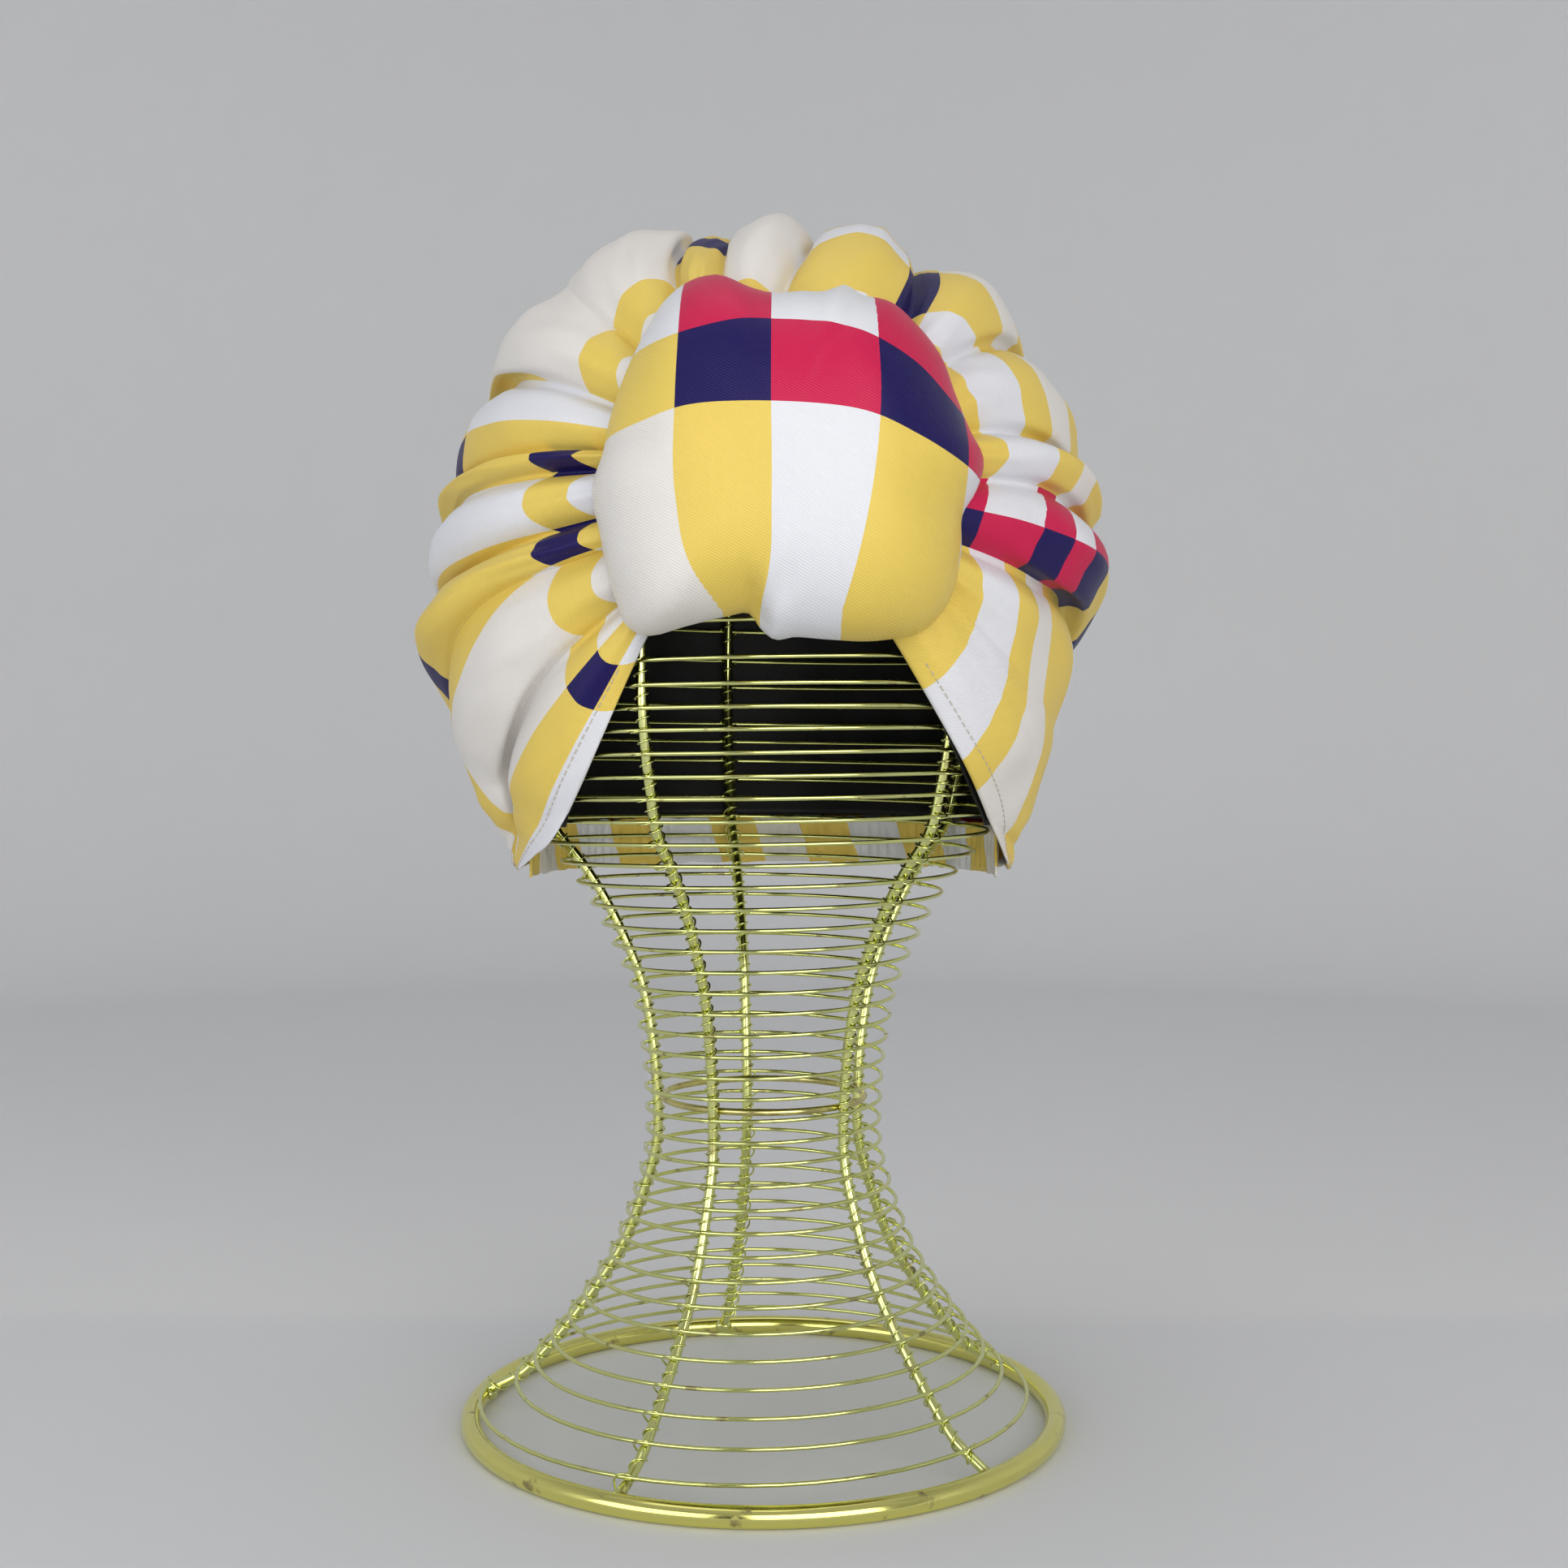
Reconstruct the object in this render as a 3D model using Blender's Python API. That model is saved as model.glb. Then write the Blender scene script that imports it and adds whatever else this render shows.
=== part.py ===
# Turban headwrap on a wire display stand. Metres, +Z up, front towards -Y, origin on the floor
# at the centre of the base ring.
import math

import bmesh
import bpy
import numpy as np

# wire display stand
stand_height = 0.318        # top of the ribs' centre lines
base_radius = 0.087         # centre line of the base ring
base_wire = 0.006
rib_wire = 0.003
coil_wire = 0.0012
neck_radius = 0.0326        # centre lines of the ribs at the neck
dome_radius = 0.0736        # centre lines of the ribs at the widest of the dome
neck_ring_height = 0.097
neck_ring_wire = 0.002
hub_radius = 0.008
hub_wire = 0.0024
rib_count = 5
first_rib_turn = -26.0      # degrees from the front towards +X
coil_pitch = 0.00615        # rise of one turn up to the widest of the dome
cap_pitch = 0.010           # run of one turn over the top of the dome
coil_start_height = 0.0075

# headwrap
cloth_wall = 0.0015
wrap_half_width = 0.098
wrap_front = 0.090
wrap_back = 0.105
crown_rise = 0.094          # from the wrap's centre to its top
nape_reach = 0.133          # half height of the egg shape below the centre
crown_lift = 0.038          # cloth above the top of the stand
wrap_centre_y = 0.003
nape_drop = 0.097           # from the wrap's centre down to the nape seam
band_height = 0.015
band_wall = 0.002
band_reach = 100.0          # degrees to each side of the back
lining_wall = 0.001
loop_half_width = 0.050
loop_half_height = 0.046
loop_front = 0.113          # furthest front of the puffed loop
loop_x = 0.0065
loop_lift = 0.010           # centre of the loop above the wrap's centre
loop_wall = 0.002
knot_share = 0.86           # the folds start this far out under the loop

# clearances
wire_gap = 0.0004
cloth_gap = 0.0003
lining_gap = 0.0008
knot_sink = 0.0006          # how far the folds lie below the loop's rim
facet_gap = 0.0007          # room for the flat faces of a curved wall

wrap_centre = np.array([0.0, wrap_centre_y, stand_height + crown_lift - crown_rise])
seam_height = wrap_centre[2] - nape_drop
band_top = seam_height - 0.002 + band_height
rib_turns = [first_rib_turn + 360.0 * i / rib_count for i in range(rib_count)]
widest_share = 0.703        # widest of the dome, as a share of the stand's height

# Outline of the ribs below the widest of the dome: height as a share of the stand's height,
# flare as a share of the step from the neck to the base (skirt) or to the dome.
skirt_outline = [
    # height, flare
    (0.016, 0.947),
    (0.031, 0.776),
    (0.051, 0.656),
    (0.083, 0.496),
    (0.117, 0.347),
    (0.157, 0.200),
    (0.203, 0.092),
    (0.261, 0.000),
]
dome_outline = [
    (0.308, 0.000),
    (0.369, 0.049),
    (0.414, 0.124),
    (0.453, 0.249),
    (0.490, 0.398),
    (0.528, 0.598),
    (0.550, 0.744),
    (0.600, 0.880),
    (0.661, 0.976),
    (widest_share, 1.000),
]

# One row for each crease of the drape, from the left hem over the crown to the right hem.
# knot: clock angle where it leaves the loop. front, side: clock angles about the wrap's centre
# a third and half of the way round. nape: degrees from the back where it ends. wrap: 1 where it
# runs round the back, 0 where it is a hem. knot_depth, side_depth: how deep the crease lies.
# puff: how far the fold after it stands out. lean: which way that fold's crest lies.
creases = [
    dict(knot=-138, front=-144, side=-146, nape=-100, wrap=0.00, knot_depth=5, side_depth=1, puff=1.0, lean=0.1),
    dict(knot=-129, front=-125, side=-131, nape=-93, wrap=0.40, knot_depth=6, side_depth=9, puff=4.0, lean=-0.4),
    dict(knot=-115, front=-105, side=-114, nape=-80, wrap=0.75, knot_depth=5, side_depth=1, puff=7.0, lean=-0.2),
    dict(knot=-103, front=-97, side=-102, nape=-66, wrap=0.92, knot_depth=6, side_depth=8, puff=2.0, lean=-0.3),
    dict(knot=-85, front=-81, side=-87, nape=-52, wrap=1.00, knot_depth=6, side_depth=7, puff=-1.5, lean=-0.2),
    dict(knot=-78, front=-76, side=-83, nape=-43, wrap=1.00, knot_depth=5, side_depth=8, puff=-3.0, lean=0.0),
    dict(knot=-66, front=-61, side=-68, nape=-31, wrap=1.00, knot_depth=7, side_depth=10, puff=2.0, lean=-0.5),
    dict(knot=-47, front=-40, side=-42, nape=-21, wrap=1.00, knot_depth=5, side_depth=0, puff=5.0, lean=0.2),
    dict(knot=-31, front=-19, side=-14, nape=-13, wrap=1.00, knot_depth=7, side_depth=7, puff=2.0, lean=0.0),
    dict(knot=-24, front=-9, side=-4, nape=-6, wrap=1.00, knot_depth=6, side_depth=7, puff=2.5, lean=0.0),
    dict(knot=-7, front=8, side=12, nape=3, wrap=1.00, knot_depth=7, side_depth=8, puff=4.0, lean=0.1),
    dict(knot=40, front=33, side=26, nape=13, wrap=1.00, knot_depth=6, side_depth=5, puff=5.5, lean=0.3),
    dict(knot=51, front=49, side=54, nape=27, wrap=1.00, knot_depth=5, side_depth=6, puff=2.0, lean=0.1),
    dict(knot=70, front=70, side=79, nape=42, wrap=1.00, knot_depth=6, side_depth=8, puff=3.5, lean=0.2),
    dict(knot=88, front=81, side=89, nape=54, wrap=1.00, knot_depth=6, side_depth=6, puff=6.0, lean=0.3),
    dict(knot=111, front=100, side=103, nape=68, wrap=0.92, knot_depth=6, side_depth=9, puff=-2.0, lean=0.1),
    dict(knot=126, front=119, side=124, nape=86, wrap=0.55, knot_depth=3, side_depth=1, puff=1.5, lean=0.0),
    dict(knot=147, front=138, side=141, nape=100, wrap=0.00, knot_depth=5, side_depth=1, puff=0.0, lean=0.0),
]
mm = 0.001

# How a crease runs: how far round from the front its second and third points lie, in degrees, and
# what its fourth point is mixed from.
front_polar, front_polar_wrapped = 48.0, 60.0
side_polar, side_polar_wrapped = 64.0, 90.0
back_from_side, back_from_seam, back_push = 0.45, 0.35, 0.65
lean_span = (0.0, 0.40)     # shares along a crease over which each effect comes in
growth_span = (0.08, 0.42)
sink_span = (0.04, 0.14)
closing_span = (0.88, 1.0)
crest_power = 0.7           # below 1 a fold is rounder than a half wave

# Outline of the front loop: clock angle about its centre, reach as a share of its half size.
loop_outline = [
    # clock, reach
    (-165, 0.90),
    (-150, 1.00),
    (-138, 1.18),
    (-125, 1.06),
    (-105, 0.97),
    (-98, 1.02),
    (-85, 0.98),
    (-65, 0.95),
    (-45, 1.10),
    (-28, 1.15),
    (-12, 0.95),
    (15, 0.97),
    (25, 1.05),
    (35, 1.04),
    (55, 1.05),
    (75, 0.99),
    (87, 1.03),
    (100, 0.96),
    (118, 1.03),
    (135, 1.20),
    (150, 1.11),
    (170, 0.98),
    (185, 1.00),
]

coil_sides = 0              # bevel resolution: 4 sides
rib_sides = 1               # bevel resolution: 6 sides
ring_sides = 2              # bevel resolution: 8 sides
coil_steps = 15             # points in one turn, a whole number for each rib
span_turns = 4              # turns of the coil in one span
fold_steps = 4              # faces across one fold
drape_rows = 15             # faces along a fold
lining_rows = 13            # rings from the band to the hub
lining_steps = 40           # faces in one ring
neck_ring_steps = 30        # whole numbers of five, one corner at each rib
hub_steps = 15
base_ring_steps = 45
loop_steps = 32
loop_shares = [0.12, 0.35, 0.6, 0.78, 0.9, 0.97, 1.0]
loop_round, loop_power = 2.6, 0.55
band_columns = 48
band_gathers = 12
band_ruffle = 0.0004
cutter_front = 0.3          # the face opening's cutter starts this far in front
dome_foot_share = 0.33      # above the neck the profile's radius grows with height


def clear_scene():
    for obj in list(bpy.data.objects):
        bpy.data.objects.remove(obj)


def make_material(name, colour, roughness, metallic=0.0):
    material = bpy.data.materials.new(name)
    material.use_nodes = True
    shader = material.node_tree.nodes["Principled BSDF"]
    shader.inputs["Base Color"].default_value = (*colour, 1.0)
    shader.inputs["Roughness"].default_value = roughness
    shader.inputs["Metallic"].default_value = metallic
    return material


def add_object(name, data, material):
    obj = bpy.data.objects.new(name, data)
    data.materials.append(material)
    bpy.context.collection.objects.link(obj)
    return obj


def wire(name, points, diameter, material, sides, closed=False, section_turn=0.0):
    """A bent wire: a curve with a round section and filled ends."""
    curve = bpy.data.curves.new(name, "CURVE")
    curve.dimensions = "3D"
    curve.bevel_depth = diameter / 2
    curve.bevel_resolution = sides
    curve.use_fill_caps = True
    spline = curve.splines.new("POLY")
    spline.points.add(len(points) - 1)
    for slot, point in zip(spline.points, points):
        slot.co = (*point, 1.0)
        slot.tilt = section_turn
    spline.use_cyclic_u = closed
    return add_object(name, curve, material)


def around(turn, radius, height):
    """A point at a turn from the front, towards +X, in degrees."""
    angle = math.radians(turn)
    return np.array([radius * math.sin(angle), -radius * math.cos(angle), height])


def smooth_interp(x, xs, ys):
    """Interpolation through a table with an even slope at each row."""
    xs = np.asarray(xs, float)
    ys = np.asarray(ys, float)
    slopes = np.gradient(ys, xs)
    i = int(np.clip(np.searchsorted(xs, x) - 1, 0, len(xs) - 2))
    width = xs[i + 1] - xs[i]
    u = float(np.clip((x - xs[i]) / width, 0.0, 1.0))
    start = (1 + 2 * u) * (1 - u) ** 2 * ys[i] + u * (1 - u) ** 2 * width * slopes[i]
    end = u * u * (3 - 2 * u) * ys[i + 1] + u * u * (u - 1) * width * slopes[i + 1]
    return start + end


def ease(value, low, high):
    u = min(max((value - low) / (high - low), 0.0), 1.0)
    return u * u * (3 - 2 * u)


def unit(vector):
    return vector / np.linalg.norm(vector)


def rib_profile():
    """Radius and height along a rib's centre line, from the base ring to the hub."""
    rows = [(h, neck_radius + f * (base_radius - neck_radius)) for h, f in skirt_outline]
    rows += [(h, neck_radius + f * (dome_radius - neck_radius)) for h, f in dome_outline]
    heights = [h * stand_height for h, _ in rows]
    radii = [r for _, r in rows]
    profile = []
    for z in np.linspace(heights[0], heights[-1], 160):
        profile.append((smooth_interp(z, heights, radii), z))
    cap_rise = stand_height - heights[-1]
    last_angle = math.acos((hub_radius + hub_wire / 2 + wire_gap) / dome_radius)
    for angle in np.linspace(0.0, last_angle, 60)[1:]:
        profile.append((dome_radius * math.cos(angle), heights[-1] + cap_rise * math.sin(angle)))
    return np.array(profile)


def offset_profile(profile, offset):
    """The profile moved outwards by an offset, square to itself."""
    slope = np.gradient(profile, axis=0)
    slope /= np.linalg.norm(slope, axis=1)[:, None]
    return profile + offset * np.column_stack([slope[:, 1], -slope[:, 0]])


def travel_along(profile, widest_height):
    """Turns of the coil counted along the profile: even in height, then even in length."""
    steps = np.diff(profile, axis=0)
    below = profile[1:, 1] <= widest_height
    turns = np.where(below, steps[:, 1] / coil_pitch, np.hypot(*steps.T) / cap_pitch)
    return np.concatenate([[0.0], np.cumsum(turns)])


profile = rib_profile()
coil_line = offset_profile(profile, rib_wire / 2 + wire_gap + coil_wire / 2)
lining_inside = offset_profile(profile, rib_wire / 2 + wire_gap + coil_wire + lining_gap)
lining_outside = offset_profile(profile, rib_wire / 2 + wire_gap + coil_wire + lining_gap + lining_wall)


def dome_radius_at(line, z):
    """Radius of an offset line at a height on the dome, 0 above its top."""
    start = int(np.searchsorted(profile[:, 1], stand_height * dome_foot_share))
    if z >= line[-1, 1]:
        return 0.0
    return float(np.interp(z, line[start:, 1], line[start:, 0]))


band_inner = dome_radius_at(lining_inside, band_top)
band_outer = band_inner + band_wall


def under_radius(z):
    """Radius of what the drape lies on at a height: the nape band, or the lining."""
    radius = dome_radius_at(lining_outside, z)
    return radius if z > band_top + facet_gap else max(radius, band_outer)


def egg_distance(direction):
    """Distance from the wrap's centre to its egg-shaped outline."""
    depth = wrap_front if direction[1] < 0 else wrap_back
    rise = crown_rise if direction[2] > 0 else nape_reach
    parts = direction / np.array([wrap_half_width, depth, rise])
    return 1.0 / math.sqrt(float(parts @ parts))


def seat_distance(direction, clearance):
    """Distance from the wrap's centre to the lining or band, plus a clearance."""
    low, high = 0.02, 0.25
    for _ in range(16):
        middle = (low + high) / 2
        point = wrap_centre + direction * middle
        if math.hypot(point[0], point[1]) < under_radius(point[2] - clearance) + clearance:
            low = middle
        else:
            high = middle
    return high


def outline_distance(direction):
    return max(egg_distance(direction), seat_distance(direction, cloth_gap + cloth_wall))


def clock_direction(clock, polar):
    """A direction at a clock angle seen from the front and an angle away from the front."""
    clock, polar = math.radians(clock), math.radians(polar)
    return np.array([math.sin(polar) * math.sin(clock), -math.cos(polar), math.sin(polar) * math.cos(clock)])


def loop_reach(clock):
    clocks = [row[0] for row in loop_outline]
    reaches = [row[1] for row in loop_outline]
    clocks = [turn - 360 for turn in clocks[-3:]] + clocks + [turn + 360 for turn in clocks[:3]]
    reaches = reaches[-3:] + reaches + reaches[:3]
    return smooth_interp((clock + 170) % 360 - 170, clocks, reaches)


def loop_plane_point(clock, share, inset=0.0):
    """x and z of a point of the front loop, share 0 at its centre and 1 at its edge."""
    reach = loop_reach(clock) * share
    angle = math.radians(clock)
    x = loop_x + (loop_half_width - inset) * reach * math.sin(angle)
    z = wrap_centre[2] + loop_lift + (loop_half_height - inset) * reach * math.cos(angle)
    return x, z


def rim_distance(direction):
    """The outline, or the outside of the drape where the dome is so wide that the folds can't sink."""
    seated = seat_distance(direction, cloth_gap + cloth_wall + facet_gap)
    return max(egg_distance(direction), seated + facet_gap)


def outline_y(x, z):
    """Front of the wrap's outline behind a point of the loop."""
    low, high = 0.0, 0.3
    for _ in range(20):
        middle = (low + high) / 2
        offset = np.array([x, wrap_centre_y - middle, z]) - wrap_centre
        if np.linalg.norm(offset) < rim_distance(unit(offset)):
            low = middle
        else:
            high = middle
    return wrap_centre_y - high


def seam_point(nape):
    """A point of the nape seam at an angle from the back."""
    radius = band_outer + cloth_gap + cloth_wall + facet_gap
    angle = math.radians(nape)
    return np.array([radius * math.sin(angle), radius * math.cos(angle), seam_height])


def crease_path(row):
    """Five directions from the wrap's centre that a crease runs through."""
    x, z = loop_plane_point(row["knot"], knot_share)
    knot = unit(np.array([x, outline_y(x, z), z]) - wrap_centre)
    wrap = row["wrap"]
    front = clock_direction(row["front"], (1 - wrap) * front_polar + wrap * front_polar_wrapped)
    side = clock_direction(row["side"], (1 - wrap) * side_polar + wrap * side_polar_wrapped)
    seam = unit(seam_point(row["nape"]) - wrap_centre)
    push = back_push * max(math.cos(math.radians(row["nape"])), 0.0)
    back = unit(back_from_side * side + back_from_seam * seam + np.array([0.0, push, 0.0]))
    return [knot, front, side, back, seam]


paths = [crease_path(row) for row in creases]


def along_path(path, s):
    """Smooth curve through a crease's five directions."""
    place = s * (len(path) - 1)
    i = min(int(place), len(path) - 2)
    u = place - i
    before = path[i - 1] if i > 0 else 2 * path[0] - path[1]
    after = path[i + 2] if i + 2 < len(path) else 2 * path[-1] - path[-2]
    a, b = path[i], path[i + 1]
    curve = 2 * a + (b - before) * u
    curve = curve + (2 * before - 5 * a + 4 * b - after) * u ** 2
    curve = curve + (3 * a - before - 3 * b + after) * u ** 3
    return unit(curve)


def drape_point(fold, across, s, inset=0.0):
    """A point of the drape: across a fold from 0 to 1, and along it from the loop to the nape."""
    row, following = creases[fold], creases[fold + 1]
    leaned = across + row["lean"] * across * (1 - across) * ease(s, *lean_span)
    start = along_path(paths[fold], s)
    end = along_path(paths[fold + 1], s)
    direction = unit((1 - leaned) * start + leaned * end)
    grown = ease(s, *growth_span)
    knot_depth = (1 - across) * row["knot_depth"] + across * following["knot_depth"]
    side_depth = (1 - across) * row["side_depth"] + across * following["side_depth"]
    depth = (1 - grown) * knot_depth + grown * side_depth
    crest = math.sin(math.pi * across) ** crest_power
    puff = row["puff"] * grown
    height = (-depth + (puff + depth) * crest) * mm
    height = height - knot_sink * (1 - ease(s, *sink_span))
    distance = outline_distance(direction) + height
    seam = (1 - across) * seam_point(row["nape"]) + across * seam_point(following["nape"])
    closing = ease(s, *closing_span)
    seat = seat_distance(direction, cloth_gap + cloth_wall + facet_gap)
    distance = max(distance, seat)
    distance = (1 - closing) * distance + closing * max(seat, np.linalg.norm(seam - wrap_centre))
    return wrap_centre + direction * (distance - inset)


def wall_mesh(name, outside, inside, closed=False):
    """A closed wall between two grids of points; closed joins the last column to the first."""
    mesh = bpy.data.meshes.new(name)
    work = bmesh.new()
    grids = []
    for grid in (outside, inside):
        grids.append([[work.verts.new(point) for point in column] for column in grid])
    outer, inner = grids
    columns = len(outer)
    rows = len(outer[0])
    spans = columns if closed else columns - 1
    for i in range(spans):
        j = (i + 1) % columns
        for k in range(rows - 1):
            work.faces.new([outer[i][k], outer[j][k], outer[j][k + 1], outer[i][k + 1]])
            work.faces.new([inner[i][k + 1], inner[j][k + 1], inner[j][k], inner[i][k]])
        work.faces.new([outer[j][0], outer[i][0], inner[i][0], inner[j][0]])
        work.faces.new([outer[i][-1], outer[j][-1], inner[j][-1], inner[i][-1]])
    if not closed:
        for k in range(rows - 1):
            work.faces.new([outer[0][k], outer[0][k + 1], inner[0][k + 1], inner[0][k]])
            work.faces.new([outer[-1][k + 1], outer[-1][k], inner[-1][k], inner[-1][k + 1]])
    bmesh.ops.recalc_face_normals(work, faces=work.faces)
    work.to_mesh(mesh)
    work.free()
    return mesh


def build_base_ring(material):
    half = base_wire / 2
    turns = [first_rib_turn + 360.0 * i / base_ring_steps for i in range(base_ring_steps)]
    points = [around(turn, base_radius, half) for turn in turns]
    corner = half / math.cos(math.pi / 8)
    wire("base_ring", points, 2 * corner, material, ring_sides, closed=True, section_turn=math.pi / 8)


def build_ribs(material):
    foot = np.array([base_radius, base_wire / 2])
    lean = unit(profile[0] - foot)
    foot = foot + lean * (base_wire / 2 / math.cos(math.pi / 8) + wire_gap)
    line = np.vstack([foot, profile[5:-3:6], profile[-1]])
    for i, turn in enumerate(rib_turns):
        points = [around(turn, radius, z) for radius, z in line]
        wire(f"rib_{i + 1}", points, rib_wire, material, rib_sides)


def build_rings(material):
    radius = neck_radius - rib_wire / 2 - wire_gap - neck_ring_wire / 2
    turns = [first_rib_turn + 360.0 * i / neck_ring_steps for i in range(neck_ring_steps)]
    points = [around(turn, radius, neck_ring_height) for turn in turns]
    wire("neck_ring", points, neck_ring_wire, material, rib_sides, closed=True)
    turns = [first_rib_turn + 360.0 * i / hub_steps for i in range(hub_steps)]
    points = [around(turn, hub_radius, profile[-1, 1]) for turn in turns]
    wire("top_hub", points, hub_wire, material, rib_sides, closed=True)


def build_coil(material):
    """One wire wound round the ribs, made in spans that meet end to end."""
    turns = travel_along(coil_line, widest_share * stand_height)
    first = float(np.interp(coil_start_height, coil_line[:, 1], turns))
    last = math.floor((turns[-1] - first) * coil_steps)
    joints = list(range(0, last - span_turns * coil_steps // 2, span_turns * coil_steps)) + [last]
    left_rib = first_rib_turn - 360.0 / rib_count
    for number, (low, high) in enumerate(zip(joints, joints[1:]), start=1):
        points = []
        for step in range(low, high + 1):
            turn = step / coil_steps
            radius = float(np.interp(first + turn, turns, coil_line[:, 0]))
            z = float(np.interp(first + turn, turns, coil_line[:, 1]))
            points.append(around(left_rib + 360.0 * turn, radius, z))
        if high < last:
            back = unit(points[-2] - points[-1])
            points[-1] = points[-1] + back * wire_gap
        wire(f"coil_{number}", points, coil_wire, material, coil_sides)


def build_drape(material):
    columns = []
    for fold in range(len(creases) - 1):
        for i in range(fold_steps):
            columns.append((fold, i / fold_steps))
    columns.append((len(creases) - 2, 1.0))
    shares = [k / drape_rows for k in range(drape_rows + 1)]
    outside = [[drape_point(fold, across, s) for s in shares] for fold, across in columns]
    inside = [[drape_point(fold, across, s, cloth_wall) for s in shares] for fold, across in columns]
    mesh = wall_mesh("crown_drape", outside, inside)
    add_object("crown_drape", mesh, material)
    return outside[0], outside[-1]


def build_loop(material):
    clocks = [360.0 * i / loop_steps for i in range(loop_steps)]

    def point(clock, share, inset):
        x, z = loop_plane_point(clock, share, inset)
        edge_x, edge_z = loop_plane_point(clock, 1.0, inset)
        rim = outline_y(edge_x, edge_z) - cloth_gap
        bulge = (1 - share ** loop_round) ** loop_power
        return np.array([x, rim - (loop_front - inset + rim) * bulge, z])

    outside = [[point(clock, share, 0.0) for share in loop_shares] for clock in clocks]
    inside = [[point(clock, share, loop_wall) for share in loop_shares] for clock in clocks]
    mesh = bpy.data.meshes.new("front_loop")
    work = bmesh.new()
    outer = [[work.verts.new(p) for p in column] for column in outside]
    inner = [[work.verts.new(p) for p in column] for column in inside]
    for i in range(loop_steps):
        j = (i + 1) % loop_steps
        for k in range(len(loop_shares) - 1):
            work.faces.new([outer[i][k], outer[j][k], outer[j][k + 1], outer[i][k + 1]])
            work.faces.new([inner[i][k + 1], inner[j][k + 1], inner[j][k], inner[i][k]])
        work.faces.new([outer[i][-1], outer[j][-1], inner[j][-1], inner[i][-1]])
    work.faces.new([column[0] for column in outer])
    work.faces.new([column[0] for column in inner])
    bmesh.ops.triangulate(work, faces=work.faces)
    bmesh.ops.recalc_face_normals(work, faces=work.faces)
    work.to_mesh(mesh)
    work.free()
    add_object("front_loop", mesh, material)


def build_band(material):
    bottom = band_top - band_height
    outside, inside = [], []
    for i in range(band_columns + 1):
        nape = math.radians(band_reach * (2.0 * i / band_columns - 1))
        ruffle = band_ruffle * abs(math.sin(2 * math.pi * band_gathers * i / band_columns))
        outer, inner = [], []
        for share in (0.0, 0.33, 0.67, 1.0):
            z = bottom + share * band_height
            bulge = ruffle * math.sin(math.pi * share)
            for points, radius in ((outer, band_outer - bulge), (inner, band_inner + bulge / 2)):
                points.append(np.array([radius * math.sin(nape), radius * math.cos(nape), z]))
        outside.append(outer)
        inside.append(inner)
    add_object("nape_band", wall_mesh("nape_band", outside, inside), material)


def build_lining(material, left_hem, right_hem):
    """A turned cap over the dome, cut open at the face between the two hems."""
    start = int(np.searchsorted(lining_outside[:, 1], band_top + cloth_gap))
    rows = np.linspace(start, len(profile) - 1, lining_rows).astype(int)
    outer = np.vstack([lining_outside[rows], [0.0, lining_outside[-1, 1]]])
    inner = np.vstack([lining_inside[rows], [0.0, lining_inside[-1, 1]]])
    outer[0, 1] = band_top + cloth_gap
    inner[0, 1] = band_top + cloth_gap
    mesh = bpy.data.meshes.new("lining")
    work = bmesh.new()
    turns = [360.0 * i / lining_steps for i in range(lining_steps)]
    pairs = [(i, (i + 1) % lining_steps) for i in range(lining_steps)]
    layers = []
    for line in (outer, inner):
        rings = [[work.verts.new(around(turn, r, z)) for turn in turns] for r, z in line[:-1]]
        top = work.verts.new((0.0, 0.0, line[-1, 1]))
        for low, high in zip(rings[:-1], rings[1:]):
            for i, j in pairs:
                work.faces.new([low[i], low[j], high[j], high[i]])
        for i, j in pairs:
            work.faces.new([rings[-1][i], rings[-1][j], top])
        layers.append(rings)
    for i, j in pairs:
        work.faces.new([layers[0][0][i], layers[0][0][j], layers[1][0][j], layers[1][0][i]])
    bmesh.ops.recalc_face_normals(work, faces=work.faces)
    work.to_mesh(mesh)
    work.free()
    cap = add_object("lining", mesh, material)
    left = [(p[0], p[2]) for p in left_hem]
    right = [(p[0], p[2]) for p in right_hem]
    low = seam_height - 0.02
    outline = [(left[-1][0], low)] + left[::-1] + right + [(right[-1][0], low)]
    cutter_mesh = bpy.data.meshes.new("face_cutter")
    work = bmesh.new()
    front = [work.verts.new((x, -cutter_front, z)) for x, z in outline]
    face = work.faces.new(front)
    made = bmesh.ops.extrude_face_region(work, geom=[face])
    moved = [item for item in made["geom"] if isinstance(item, bmesh.types.BMVert)]
    bmesh.ops.translate(work, verts=moved, vec=(0.0, cutter_front + wrap_centre_y, 0.0))
    bmesh.ops.triangulate(work, faces=work.faces)
    bmesh.ops.recalc_face_normals(work, faces=work.faces)
    work.to_mesh(cutter_mesh)
    work.free()
    cutter = add_object("face_cutter", cutter_mesh, material)
    cutter.hide_render = True
    cutter.display_type = "WIRE"
    cut = cap.modifiers.new("face_opening", "BOOLEAN")
    cut.operation = "DIFFERENCE"
    cut.object = cutter


def build():
    clear_scene()
    gold = make_material("gold_wire", (0.62, 0.56, 0.22), 0.22, 1.0)
    print_cloth = make_material("printed_twill", (0.78, 0.68, 0.42), 0.45)
    loop_cloth = make_material("loop_twill", (0.62, 0.09, 0.18), 0.45)
    black = make_material("black_lining", (0.01, 0.01, 0.012), 0.5)
    build_base_ring(gold)
    build_ribs(gold)
    build_rings(gold)
    build_coil(gold)
    left_hem, right_hem = build_drape(print_cloth)
    build_loop(loop_cloth)
    build_band(print_cloth)
    build_lining(black, left_hem, right_hem)


build()
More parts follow.
